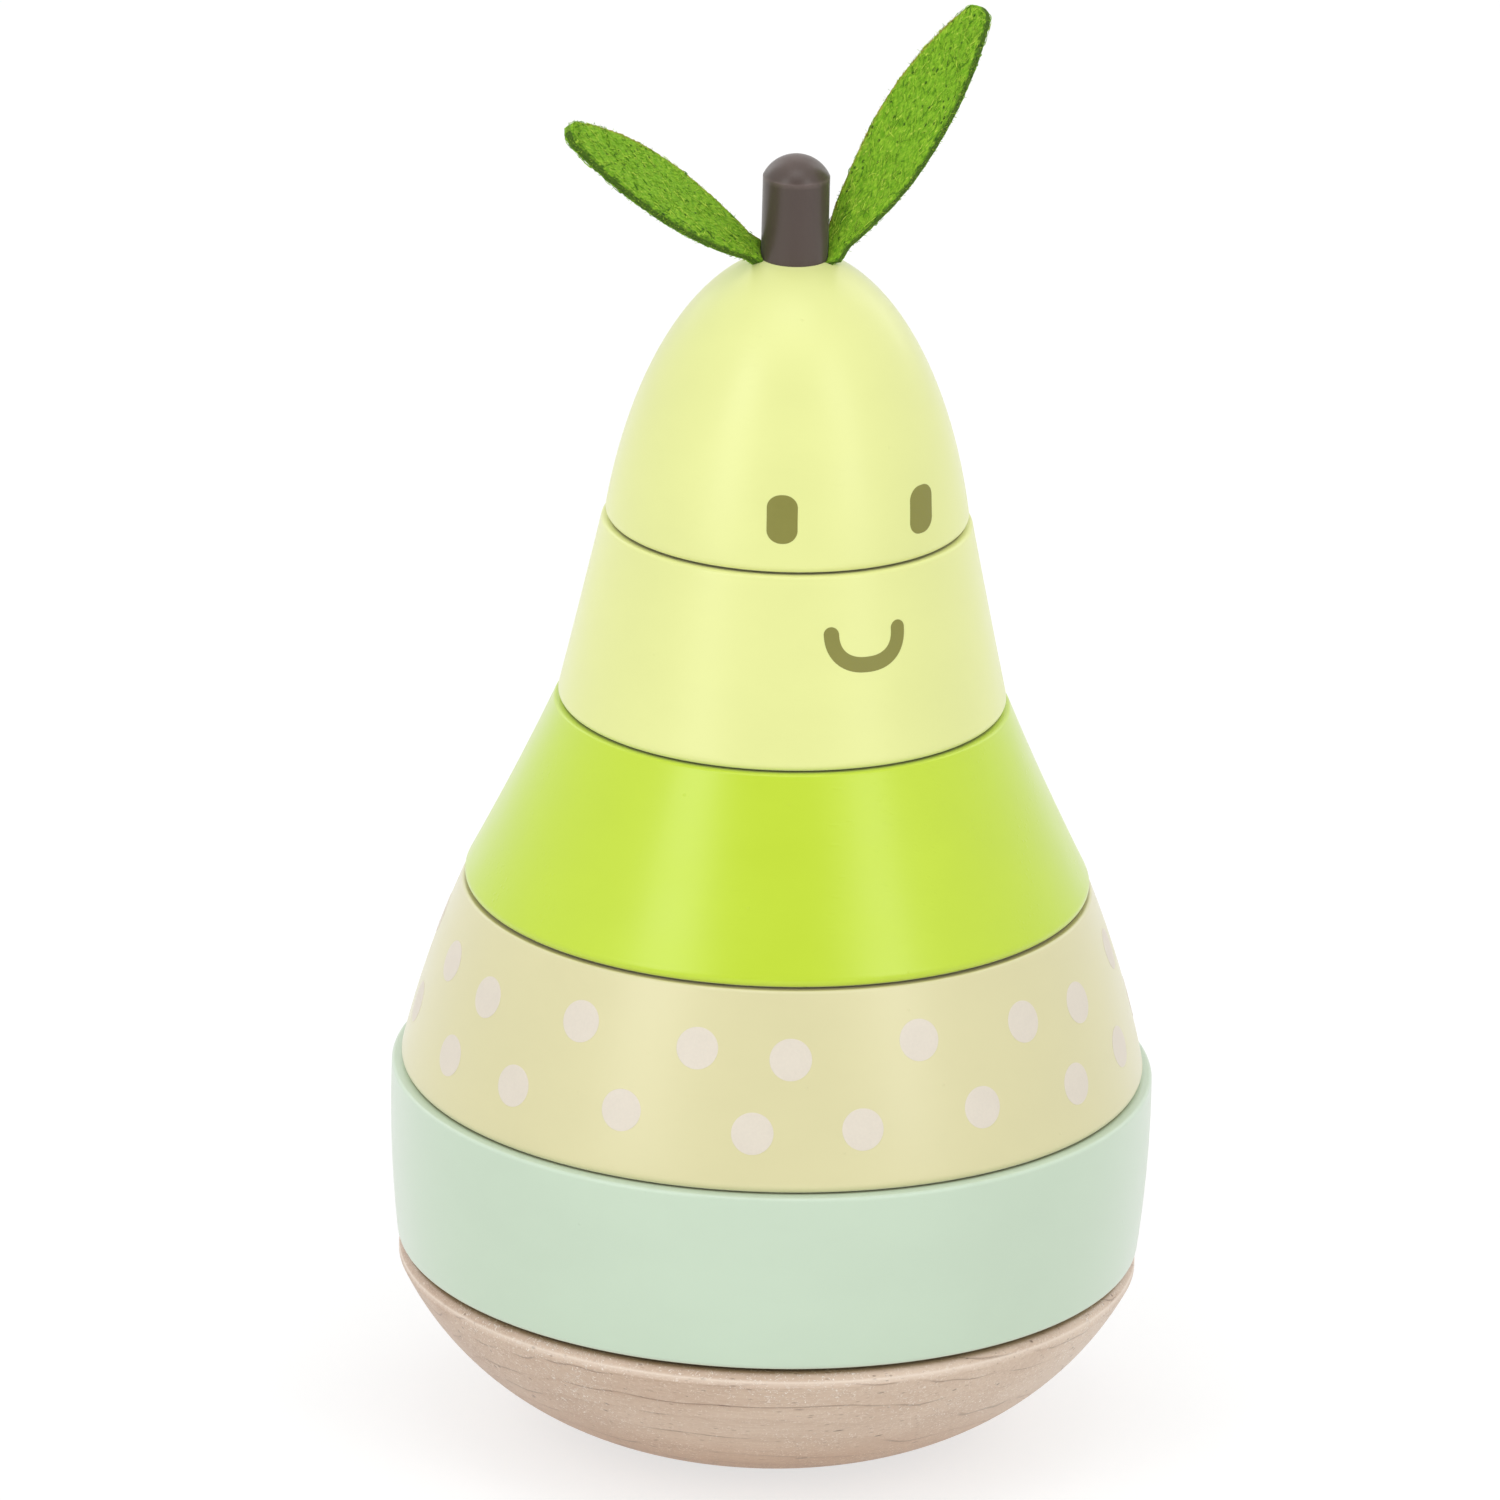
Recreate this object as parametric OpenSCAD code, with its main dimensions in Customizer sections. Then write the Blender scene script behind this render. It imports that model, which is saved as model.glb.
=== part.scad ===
// Pear-shaped stacking toy: four painted wooden rings and a domed cap, threaded on a
// post that is glued into a rounded base. A stem and two felt leaves top the cap.
// Millimetres, +Z up. The origin is the middle of the flat that the base stands on.

/* [Post] */
// Diameter of the post that the rings slide on
post_d = 15; // [12:0.5:17]
// How far the post reaches up into the cap
post_reach = 16; // [10:0.5:20]
// Depth of the post's hole in the base
post_seat = 16; // [10:0.5:19]
// Rounding of the post's top edge
post_round = 3; // [1:0.5:5]
// Gap all round between the post and the bores that slide on it
slide_gap = 0.75; // [0.3:0.05:1.5]
// Gap between the post's top and the end of the cap's socket
socket_gap = 2; // [0.5:0.5:4]
// Gap all round a peg or tab that is glued in
glue_gap = 0.05; // [0.02:0.01:0.2]

/* [Base] */
// Height of the base
base_h = 24.8; // [23:0.2:32]
// Diameter of the flat that the base stands on
foot_d = 24; // [16:0.5:40]
// Height of the straight rim above the bowl
rim_h = 2; // [1.8:0.1:6]
// Rounding of the base's upper edge
base_round = 1.5; // [0.4:0.1:1.7]
// How far the base stands out past the mint ring's lower edge
base_ledge = -0.1; // [-1:0.1:2]

/* [Edges of the rings] */
// Rounding of the upper outer edges
top_round = 0.8; // [0.4:0.1:2]
// Rounding of the lower outer edges
foot_round = 0.5; // [0.4:0.1:1.5]
// Chamfer at both ends of a bore
bore_chamfer = 0.8; // [0.2:0.1:1.5]

/* [Mint ring] */
// Height of the mint ring
mint_h = 24.8; // [20:0.2:30]
// Diameter of the mint ring's lower edge
mint_foot_d = 97.4; // [90:0.2:104]
// How far the mint ring's side bows out
mint_bow = 0.45; // [0:0.05:2]
// How far the mint ring stands out past the cream ring's lower edge
mint_ledge = 1; // [0:0.1:2]

/* [Cream ring] */
// Height of the cream ring
cream_h = 25.2; // [20:0.2:30]
// Diameter of the cream ring's lower edge
cream_foot_d = 98; // [90:0.2:104]
// How far the cream ring's side bows out
cream_bow = 0.6; // [0:0.05:2]
// How far the cream ring stands out past the lime ring's lower edge
cream_ledge = -0.4; // [-1:0.1:1.5]

/* [Lime ring] */
// Height of the lime ring
lime_h = 25.4; // [20:0.2:30]
// Diameter of the lime ring's lower edge
lime_foot_d = 83.2; // [74:0.2:90]
// How far the lime ring's side bows out
lime_bow = -0.25; // [-1:0.05:1]
// How far the lime ring stands out past the neck ring's lower edge
lime_ledge = 0.2; // [-1:0.1:1.5]

/* [Neck ring] */
// Height of the neck ring
neck_h = 25; // [20:0.2:30]
// Diameter of the neck ring's lower edge
neck_foot_d = 59; // [52:0.2:66]
// How far the neck ring's side bows out
neck_bow = -0.05; // [-1:0.05:1]
// How far the neck ring stands out past the cap's lower edge
neck_ledge = 0.3; // [-1:0.1:1.5]

/* [Cap] */
// Height of the cap without its stem
cap_h = 36.3; // [33:0.1:44]
// Diameter of the cap's lower edge
cap_foot_d = 47.6; // [42:0.2:54]
// How far below the cap's lower edge its dome would be widest
dome_drop = 13.2; // [8:0.2:30]

/* [Stem] */
// Diameter of the stem
stem_d = 8.7; // [6:0.1:10]
// How far the stem stands above the cap
stem_h = 13; // [6:0.2:20]
// Height of the domed end of the stem
stem_dome = 2.8; // [1:0.1:3]
// Depth of the stem's hole in the cap
stem_seat = 9; // [6:0.5:10]

/* [Leaves] */
// Thickness of the felt
leaf_t = 1.4; // [1.2:0.1:3]
// Length of a leaf from its bend to its tip
leaf_l = 37.5; // [30:0.5:46]
// Width of a leaf
leaf_w = 10.2; // [7:0.2:12]
// Distance from the bend to where a leaf is widest
leaf_widest = 19.5; // [15:0.5:22]
// Rounding of a leaf's tip
leaf_tip_r = 2.1; // [0.8:0.1:2.4]
// Width of the tab at a leaf's root
tab_w = 3.9; // [2:0.1:4]
// Depth of the tab in the cap
tab_seat = 7; // [4:0.5:8]
// Height of the bend above the cap
tab_rise = 1; // [0.3:0.1:4]
// Gap between the stem and a tab
tab_gap = 0.15; // [0.05:0.05:1.5]
// Compass turn of the left leaf, counted from +X towards +Y
left_turn = 219; // [190:1:230]
// Slope of the left leaf above level
left_lift = 35; // [25:1:60]
// Roll of the left leaf about its own length
left_roll = -45; // [-60:1:0]
// Compass turn of the right leaf, counted from +X towards +Y
right_turn = 8; // [-15:1:30]
// Slope of the right leaf above level
right_lift = 61; // [30:0.5:70]
// Roll of the right leaf about its own length
right_roll = 39; // [0:1:40]

/* [Hidden] */

// Fineness of round shapes, in steps
$fn = 96;
corner_steps = 5;
side_steps = 8;
bowl_steps = 14;
dome_steps = 20;
leaf_steps = 10;

// Levels of the seams, from the ground up
mint_z = base_h;
cream_z = mint_z + mint_h;
lime_z = cream_z + cream_h;
neck_z = lime_z + lime_h;
cap_z = neck_z + neck_h;

// Outer diameters where two pieces meet
base_d = mint_foot_d + 2 * base_ledge;
mint_top_d = cream_foot_d + 2 * mint_ledge;
cream_top_d = lime_foot_d + 2 * cream_ledge;
lime_top_d = neck_foot_d + 2 * lime_ledge;
neck_top_d = cap_foot_d + 2 * neck_ledge;

// Post, and the bores that fit it
bore_r = post_d / 2 + slide_gap;
post_foot_z = base_h - post_seat;
post_l = cap_z + post_reach - post_foot_z;
socket_h = post_reach + socket_gap;

// Bowl of the base: an arc that leaves the flat level and meets the rim
bowl_h = base_h - rim_h;
bowl_run = (base_d - foot_d) / 2;
bowl_r = (bowl_run * bowl_run + bowl_h * bowl_h) / (2 * bowl_h);
bowl_sweep = 2 * atan(bowl_h / bowl_run);

// Dome of the cap: the upper part of a tall ellipse
dome_tall = cap_h + dome_drop;
dome_start = asin(dome_drop / dome_tall);
dome_wide = cap_foot_d / 2 / cos(dome_start);

// Stem: its domed end is part of a ball
stem_l = stem_seat + stem_h;
stem_foot_z = cap_z + cap_h - stem_seat;
stem_ball_r = (stem_d * stem_d / 4 + stem_dome * stem_dome) / (2 * stem_dome);

// Leaf: two side arcs that run into a small arc at the tip
tip_run = leaf_l - leaf_tip_r - leaf_widest;
leaf_side_r = (leaf_w * leaf_w / 4 + tip_run * tip_run - leaf_tip_r * leaf_tip_r)
              / (leaf_w - 2 * leaf_tip_r);
leaf_side_y = leaf_side_r - leaf_w / 2;
tip_angle = atan2(leaf_side_y, tip_run);
root_angle = 180 - asin((leaf_side_y + tab_w / 2) / leaf_side_r);

// Tabs of the leaves, one on each side of the stem
tab_x = stem_d / 2 + tab_gap + leaf_t / 2;
bend_z = cap_z + dome_level(tab_x) + tab_rise;
tab_foot_z = cap_z + dome_level(tab_x) - tab_seat;
tab_lap = leaf_t / 4;

// Height of the dome's surface above the cap's lower edge, at a distance from the axis
function dome_level(r) = dome_tall * sqrt(1 - pow(r / dome_wide, 2)) - dome_drop;

// Vector of length one
function unit(v) = v / norm(v);

// Points on an arc
function arc(centre, r, from, to, steps) =
    [for (i = [0:steps])
        let (a = from + (to - from) * i / steps)
        centre + r * [cos(a), sin(a)]];

// Points that round the corner at b, between its neighbours a and c
function corner(a, b, c, r) =
    let (u = unit(a - b),
         v = unit(c - b),
         half = acos(u * v) / 2,
         centre = b + unit(u + v) * r / sin(half),
         first = b + u * r / tan(half) - centre,
         last = b + v * r / tan(half) - centre,
         turn = 180 - 2 * half)
    [for (i = [0:corner_steps])
        let (t = i / corner_steps)
        centre + (first * sin((1 - t) * turn) + last * sin(t * turn)) / sin(turn)];

// Points from p up to q on a line that bows outwards
function bowed(p, q, bow) =
    let (outwards = unit([q.y - p.y, p.x - q.x]))
    [for (i = [0:side_steps])
        let (t = i / side_steps)
        p + t * (q - p) + 4 * bow * t * (1 - t) * outwards];

// Half section of a ring: bore, lower edge, side, upper edge
function ring_section(foot_d, top_d, h, bow) =
    let (side = bowed([foot_d / 2, 0], [top_d / 2, h], bow),
         last = len(side) - 1)
    concat([[bore_r, bore_chamfer], [bore_r + bore_chamfer, 0]],
           corner([bore_r, 0], side[0], side[1], foot_round),
           [for (i = [1:last - 1]) side[i]],
           corner(side[last - 1], side[last], [bore_r, h], top_round),
           [[bore_r + bore_chamfer, h], [bore_r, h - bore_chamfer]]);

// Half section of the base: flat, bowl, rim, then the hole for the post
function base_section() =
    let (hole_r = post_d / 2 + glue_gap)
    concat([[0, 0]],
           arc([foot_d / 2, bowl_r], bowl_r, -90, bowl_sweep - 90, bowl_steps),
           corner([base_d / 2, bowl_h], [base_d / 2, base_h], [0, base_h], base_round),
           [[hole_r, base_h], [hole_r, post_foot_z], [0, post_foot_z]]);

// Half section of the post, which ends in a rounded edge
function post_section() =
    concat([[0, 0], [post_d / 2, 0]],
           corner([post_d / 2, 0], [post_d / 2, post_l], [0, post_l], post_round),
           [[0, post_l]]);

// Half section of the cap: socket, lower edge, dome
function cap_section() =
    let (dome = [for (i = [0:dome_steps])
                    let (a = dome_start + (90 - dome_start) * i / dome_steps)
                    [dome_wide * cos(a), dome_tall * sin(a) - dome_drop]])
    concat([[0, socket_h], [bore_r, socket_h], [bore_r, bore_chamfer], [bore_r + bore_chamfer, 0]],
           corner([bore_r, 0], dome[0], dome[1], foot_round),
           [for (i = [1:dome_steps - 1]) dome[i]],
           [[0, cap_h]]);

// Outline of a leaf along +X, with its bend at zero
function leaf_outline() =
    let (upper = arc([leaf_widest, -leaf_side_y], leaf_side_r, root_angle, tip_angle, leaf_steps),
         tip = arc([leaf_l - leaf_tip_r, 0], leaf_tip_r, tip_angle, -tip_angle, leaf_steps))
    concat([[0, -tab_w / 2], [0, tab_w / 2]],
           upper,
           [for (i = [1:leaf_steps - 1]) tip[i]],
           [for (i = [leaf_steps:-1:0]) [upper[i].x, -upper[i].y]]);

module ring(z, foot_d, top_d, h, bow) {
    translate([0, 0, z])
        rotate_extrude()
            polygon(ring_section(foot_d, top_d, h, bow));
}

// Room that the stem and its glue take up
module stem_room() {
    translate([0, 0, stem_foot_z])
        cylinder(h = stem_l, d = stem_d + 2 * glue_gap);
}

// Felt leaf: a tab that stands in the cap, and a blade that leans away from it and past the stem
module leaf(side, turn, lift, roll) {
    difference() {
        union() {
            translate([side * tab_x - leaf_t / 2, -tab_w / 2, tab_foot_z])
                cube([leaf_t, tab_w, bend_z + tab_lap - tab_foot_z]);
            translate([side * tab_x, 0, bend_z])
                rotate([0, -lift, turn])
                    rotate([roll, 0, 0])
                        translate([0, 0, -leaf_t / 2])
                            linear_extrude(leaf_t)
                                polygon(leaf_outline());
        }
        stem_room();
    }
}

module base() {
    color("burlywood")
        rotate_extrude()
            polygon(base_section());
}

module post() {
    color("wheat")
        translate([0, 0, post_foot_z])
            rotate_extrude()
                polygon(post_section());
}

module mint_ring() {
    color([0.78, 0.88, 0.79])
        ring(mint_z, mint_foot_d, mint_top_d, mint_h, mint_bow);
}

module cream_ring() {
    color([0.88, 0.86, 0.65])
        ring(cream_z, cream_foot_d, cream_top_d, cream_h, cream_bow);
}

module lime_ring() {
    color([0.74, 0.89, 0.22])
        ring(lime_z, lime_foot_d, lime_top_d, lime_h, lime_bow);
}

module neck_ring() {
    color([0.9, 0.94, 0.62])
        ring(neck_z, neck_foot_d, neck_top_d, neck_h, neck_bow);
}

// The stem's hole has a keyway on each side for the tab of a leaf
module cap() {
    keyway = [2 * tab_x + leaf_t + 2 * glue_gap, tab_w + 2 * glue_gap, cap_h];
    color([0.9, 0.94, 0.62])
        difference() {
            translate([0, 0, cap_z])
                rotate_extrude()
                    polygon(cap_section());
            stem_room();
            translate([-keyway.x / 2, -keyway.y / 2, tab_foot_z])
                cube(keyway);
        }
}

module stem() {
    color([0.36, 0.3, 0.3])
        translate([0, 0, stem_foot_z])
            intersection() {
                cylinder(h = stem_l, d = stem_d);
                union() {
                    cylinder(h = stem_l - stem_dome, d = 2 * stem_d);
                    translate([0, 0, stem_l - stem_ball_r])
                        sphere(r = stem_ball_r);
                }
            }
}

module left_leaf() {
    color([0.35, 0.63, 0.1])
        leaf(-1, left_turn, left_lift, left_roll);
}

module right_leaf() {
    color([0.35, 0.63, 0.1])
        leaf(1, right_turn, right_lift, right_roll);
}

base();
post();
mint_ring();
cream_ring();
lime_ring();
neck_ring();
cap();
stem();
left_leaf();
right_leaf();
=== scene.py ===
import math

import bpy
import numpy as np
from mathutils import Matrix, Vector


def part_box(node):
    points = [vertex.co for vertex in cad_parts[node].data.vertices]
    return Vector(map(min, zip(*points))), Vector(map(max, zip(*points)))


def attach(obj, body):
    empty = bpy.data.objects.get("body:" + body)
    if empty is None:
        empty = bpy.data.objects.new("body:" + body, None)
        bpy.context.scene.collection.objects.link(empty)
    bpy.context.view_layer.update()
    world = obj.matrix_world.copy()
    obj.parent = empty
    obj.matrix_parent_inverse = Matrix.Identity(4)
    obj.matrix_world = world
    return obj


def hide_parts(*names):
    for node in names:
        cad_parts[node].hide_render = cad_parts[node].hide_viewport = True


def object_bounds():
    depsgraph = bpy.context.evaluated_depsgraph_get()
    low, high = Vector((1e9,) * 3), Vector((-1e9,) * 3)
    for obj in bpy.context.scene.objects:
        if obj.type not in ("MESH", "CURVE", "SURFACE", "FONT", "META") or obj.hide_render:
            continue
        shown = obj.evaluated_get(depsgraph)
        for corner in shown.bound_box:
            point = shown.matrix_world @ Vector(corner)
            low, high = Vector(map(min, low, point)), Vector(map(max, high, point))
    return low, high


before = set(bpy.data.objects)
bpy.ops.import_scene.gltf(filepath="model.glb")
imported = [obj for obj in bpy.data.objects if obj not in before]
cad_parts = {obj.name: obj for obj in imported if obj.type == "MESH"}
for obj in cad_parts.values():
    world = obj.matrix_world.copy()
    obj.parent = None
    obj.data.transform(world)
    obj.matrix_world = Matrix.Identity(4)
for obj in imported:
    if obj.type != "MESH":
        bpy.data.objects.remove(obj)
cad_low, cad_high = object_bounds()

# Lengths are in millimetres until make_piece puts them into a mesh. Levels and outer radii come
# from the frame, and the sizes below are those that a box can't tell. NEAR takes up rounding where two
# lengths are compared.
MM = 0.001
NEAR = 0.01

# Turned pieces: the steps round and along them, the degrees from which an edge is a crease, what keeps
# the points of two stretches of a section apart, and their sizes
TURN_STEPS = 288
SIDE_STEPS = 60
EDGE_STEPS = 6
ROUND_STEPS = 8
BASE_ROUND_STEPS = 16
TOP_STEPS = 24
STEM_STEPS = 30
STEM_DOME_STEPS = 24
CREASE = 20
EDGE_CLEAR = 0.1
POINT_GAP = 0.02
BORE_RADIUS = 8.25
BORE_CHAMFER = 0.8
TOP_ROUND = 0.5
FOOT_ROUND = 1.0
POST_ROUND = 3.0
GLUE_GAP = 0.05
BASE_FLAT_RADIUS = 12.0
BASE_RIM = 2.0
BASE_ROUND = 1.35
SEAT_INSET = 6.0
CAP_TALL = 36.3
CAP_FOOT_RADIUS = 23.8
DOME_DROP = 13.2
SOCKET_DEPTH = 18.0
STEM_DOME = 2.8

# Each ring's lower diameter, upper diameter and outward bow of its side
RING_SIDES = {
    "mint_ring": (97.4, 100.0, 0.45),
    "cream_ring": (98.0, 82.4, 0.6),
    "lime_ring": (83.2, 59.4, -0.25),
    "neck_ring": (59.0, 48.2, -0.05),
}

# The piece that rests on each, and how far their rims stand apart, named for the upper one
ABOVE = {
    "base": "mint_ring",
    "mint_ring": "cream_ring",
    "cream_ring": "lime_ring",
    "lime_ring": "neck_ring",
    "neck_ring": "cap",
}
SEAM_GAPS = {"mint_ring": 0.6, "cream_ring": 0.1, "lime_ring": 0.2, "neck_ring": 0.15, "cap": 0.22}

# Wear along edges, also a painted highlight on the lower lips, the stem's crease and the base's rim: its
# reach, the point of a rounded edge that it is strongest at, and how strongly the upper edges of two rings
# are rubbed
LIP_WEAR_AND_HIGHLIGHT = 0.2
LIP_STEP = 3
BASE_LIP_STEP = 1
TOP_WEAR = 0.3
TOP_RUB = {"mint_ring": 0.3, "cream_ring": 0.3}

# Painted shade in a seam, on a top face: from nought to full by depth inside the foot above, where it
# starts and where it ends, and by level from the top. On an underside, where it darkens the light that
# bounces into the gap: by depth inside the foot and by level from the rim.
RING_SEAM_SHADE = ((0.45, 0.85), (3.6, 2.0), (-0.3, -0.06))
BASE_SEAM_SHADE = ((0.35, 1.05), (3.6, 2.3), (-1.2, -0.06))
TOP_SEAM_SHADE = 0.6
UNDER_DEPTH = (SEAT_INSET + 0.5, SEAT_INSET - 1.0)
UNDER_RISE = (0.14, 0.02)

# Printed marks: turns are degrees from the front towards the right, heights are above a piece's foot
FILM = 0.05
FACE_TURN = 24.1
EYE_CORNER = 1.7
EYE_LEAN = 0.08
EYE_POINTS = 64
SMILE_HALF = 4.64
SMILE_DROP = 4.2
SMILE_HEIGHT = 17.6
SMILE_STROKE = 1.0
SMILE_FULLNESS = 2.35
SMILE_POINTS = 400
SMILE_ROWS = 72
DOT_RADIUS = 2.75
DOT_POINTS = 40
DOT_REPEATS = 6
DOT_PLACES = [(3.0, 16.8), (14.6, 8.0), (25.4, 18.3), (35.6, 8.7), (47.2, 17.6), (57.1, 7.6)]

# Each eye's place across, height, half width and half height
EYES = [(-9.75, 7.26, 1.8, 3.15), (9.72, 6.6, 1.94, 3.05)]

# A film's rows from its middle over its rim and back underneath, and a stroke's points across, each as
# a share of the outline or the half width and a share of the film's height
FILM_SHARES = [0.4, 0.75, 0.93, 0.985, 1.0, 1.0, 0.6]
FILM_LIFTS = [1, 1, 1, 0.9, 0.4, -1, -1]
STROKE_SHARES = [-1, -0.96, -0.6, 0.6, 0.96, 1, 1, 0.6, -0.6, -1]
STROKE_LIFTS = [0.4, 1, 1, 1, 1, 0.4, -1, -1, -1, -1]

# Felt leaves: the cut, the blade's cup and droop, the tab, the bend and the root, then the grid's steps
FELT = 1.4
FELT_ROUND = 0.25
LEAF_LENGTH = 37.5
LEAF_WIDTH = 10.2
LEAF_WIDEST = 19.5
LEAF_TIP = 2.1
LEAF_CUP = 0.008
LEAF_DROOP = 0.3
DROOP_START = 12.0
TAB_WIDTH = 3.9
TAB_LENGTH = 8.0
TAB_GAP = 0.15
BEND_BEFORE = 0.5
BEND_AFTER = 0.5
TWIST_LENGTH = 0.5
ROOT_DROP = 0.6
ROOT_SHIFT = 0.9
ROOT_EASE = 14.0
TWIST_STATIONS = 33
LEAF_ROWS = 250
TIP_ROWS = 26
TIP_SWEEP = 1.55
FACE_STEPS = 61
WALL_STEPS = 3
NO_CREASE = 180

# Each leaf's side of the stem, compass turn, slope and roll in degrees
LEAVES = {
    "left_leaf": (-1, 219.0, 35.0, -45.0),
    "right_leaf": (1, 8.0, 61.0, 39.0),
}

# Unevenness of the felt's faces and of its cut: heights, each with its knots to a millimetre. The faces,
# the two edges and the levels of a cut wall read parts of the lattice that lie this far apart.
FELT_ROUGH = [(0.07, 2.3), (0.05, 5.1)]
CUT_ROUGH = (0.04, 3.6)
CUT_START = 0.9
LATTICE = 256
FACE_APART = 40
EDGE_APART = 9
WALL_APART = 2

# Marks on the felt: how far the browned edge and the painted shade along the other edge reach in, where
# the browned one fades out towards the tip, what the margin and the wall each add to the cut's painted
# shade, and the shade between two hairs
BROWN_EDGE = 0.3
SHADED_EDGE = 0.5
BROWN_FADE = (LEAF_LENGTH - 3.0, LEAF_LENGTH - 0.5)
CUT_MARGIN = 0.5
CUT_WALL = 0.5
MID_SHADE = 0.5

# Loose wool: every fourth hair frays at the cut, the others are matted on a face. Angles are radians
# from the leaf's length, and girths are half a hair's thickness.
WOOL_SEED = 7
HAIRS = 2400
CUT_EVERY = 4
HAIR_POINTS = 6
HAIR_START = 2.0
TIP_CLEAR = 0.3
TIP_POINT = 0.05
FACE_SPREAD = 0.97
FACE_LIMIT = 0.98
CUT_LENGTHS = (0.15, 0.35)
FACE_LENGTHS = (0.5, 1.6)
CUT_ANGLES = (0.2, 1.5)
FACE_ANGLE = 0.2
ANGLE_SPREAD = 0.5
CURL_SPREAD = 0.5
CUT_GIRTH = 0.03
FACE_GIRTH = 0.025
GIRTH_RANGE = 0.07
GIRTH_TAPER = 0.8
CUT_BAND = 0.4
CUT_RISE = 0.25
FACE_OFF = (-0.01, 0.05)
FACE_RISE = 0.06
HAIR_SHADE = 0.4
HAIR_SPOKES = [90, 210, 330]
HAIR_ASIDE = np.array([0.31, 0.87, 0.39])

# Bare beech. Noises: cells to a millimetre along X, Y and Z, detail and roughness.
WOOD_NOISES = {
    "broad": ((0.02, 0.07, 0.09), 3.0, 0.5),
    "fibre": ((0.25, 3.0, 3.0), 4.0, 0.6),
    "wander": ((0.025, 0.08, 0.08), 2.0, 0.5),
    "broken": ((0.05, 0.16, 0.16), 3.0, 0.5),
    "thick": ((0.05, 0.12, 0.12), 2.0, 0.5),
}

# Dashes: cells to a millimetre, where a dash is whole, where it is gone, and its share of all cells,
# which is blurred by the doubt. The shaken ones are the pale flecks, partly the wood's own pale rays and
# partly painted glints of the wax, and a noise moves them.
WOOD_DASHES = {
    "dark_tick": ((0.45, 4.0, 4.0), 0.08, 0.36, 0.14),
    "pore": ((0.5, 2.2, 2.2), 0.08, 0.28, 0.16),
    "streak": ((0.2, 1.3, 1.3), 0.1, 0.3, 0.03),
}
SHAKEN_DASHES = [((1.7, 3.7, 3.7), 0.12, 0.44, 0.45), ((0.8, 4.2, 4.2), 0.1, 0.4, 0.3)]
SHAKE_CELLS = 0.9
SHAKE_REACH = (2.0, 2.0, 2.0)
DASH_DOUBT = 0.04

# Growth: the heart's place, rings to a millimetre, how far they wander, and within a ring where late
# wood and its line rise, are full, hold and are gone
HEART = (0.0, -66.0, -190.0)
YEARS = 0.34
WANDER = 2.6
LATE_WOOD = (0.55, 0.95, 0.96, 1.0)
YEAR_LINE = (0.88, 0.93, 0.94, 0.98)

# Ramps: from, to, and the values there where they aren't nought and one
WOOD_RAMPS = {
    "broken": (0.48, 0.62),
    "thick": (0.4, 0.62, 0.35, 1.0),
    "broad": (0.3, 0.72),
    "fibre": (0.35, 0.7, -0.2, 0.35),
    "across": (-45.0, 20.0, 0.8, -0.3),
    # low: where the painted shade low down fades out
    "low": (0.0, 16.0, 1.0, 0.0),
}
LATE_DEPTH = 0.3
DEEP_SHARE = 0.5
# Painted shade: the wood is multiplied darker and warmer low down.
LOW_SHADE_TINT = (0.87, 0.66, 0.45, 1.0)
WOOD_ROUGH = 0.6
FLECK_SMOOTH = -0.2

# Stains over the wood in their order, each with its strength and colour, and what stands out or lies in. The
# pale fleck is partly the wood's own rays and partly painted glints of the wax.
WOOD_STAINS_AND_GLINTS = {
    "dark_tick": (0.5, (146, 116, 98)),
    "fleck": (0.95, (255, 246, 236)),
    "line": (0.45, (116, 88, 72)),
    "pore": (0.4, (128, 98, 78)),
    "streak": (0.65, (98, 68, 52)),
}
WOOD_RELIEF = {"fleck": 0.35, "fibre": 0.35, "pore": -0.8, "streak": -0.8, "line": -0.6}
WOOD_PALE = (219, 197, 176)
WOOD_DEEP = (187, 157, 133)
# The sanded colour is also a painted highlight on the base's rim.
WOOD_SANDED_AND_LIT = (244, 228, 212)
SANDED_AND_LIT_SHARE = 0.75
WAX = {"Coat Weight": 0.35, "Coat Roughness": 0.3}
WOOD_BUMP = 0.12

# Satin paint, with the same columns as the wood
LACQUER_NOISES = {
    "mottle": ((0.05, 0.08, 0.1), 3.0, 0.5),
    "grain": ((0.11, 1.5, 1.9), 3.0, 0.55),
    "patch": ((0.05, 0.07, 0.07), 1.0, 0.5),
    "peel": ((1.1, 1.1, 1.1), 2.0, 0.5),
    "rub": ((0.35, 0.35, 0.35), 3.0, 0.6),
}
LACQUER_DASHES = {
    "ridge": ((0.16, 1.5, 1.5), 0.08, 0.36, 0.32),
    "nib": ((0.24, 0.24, 0.24), 0.02, 0.06, 0.3),
}
LACQUER_RAMPS = {
    "patch": (0.42, 0.6),
    "rub": (0.2, 0.65, 0.3, 1.0),
    "tone": (0.25, 0.75, 0.985, 1.01),
    "rough": (0.25, 0.75, 0.3, 0.4),
}
WORN_AND_LIT_SHARE = 0.5
WORN_ROUGH = 0.12
GRAIN_RELIEF = {"grain": 0.5, "ridge": 0.7}
FILM_RELIEF = {"peel": 0.1, "nib": 1.2}
PAINT_FILM = {"Specular IOR Level": 0.35, "Sheen Roughness": 0.4}
PAINT_BUMP = 0.03

# The ragged line between paint and bare wood: its noise, the noise's part in it, and its ramp
STRAY_NOISE = ((0.9, 0.9, 0.9), 3.0, 0.5)
STRAY_SHARE = 0.5
STRAY_RAMP = (0.7, 0.78)

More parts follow.
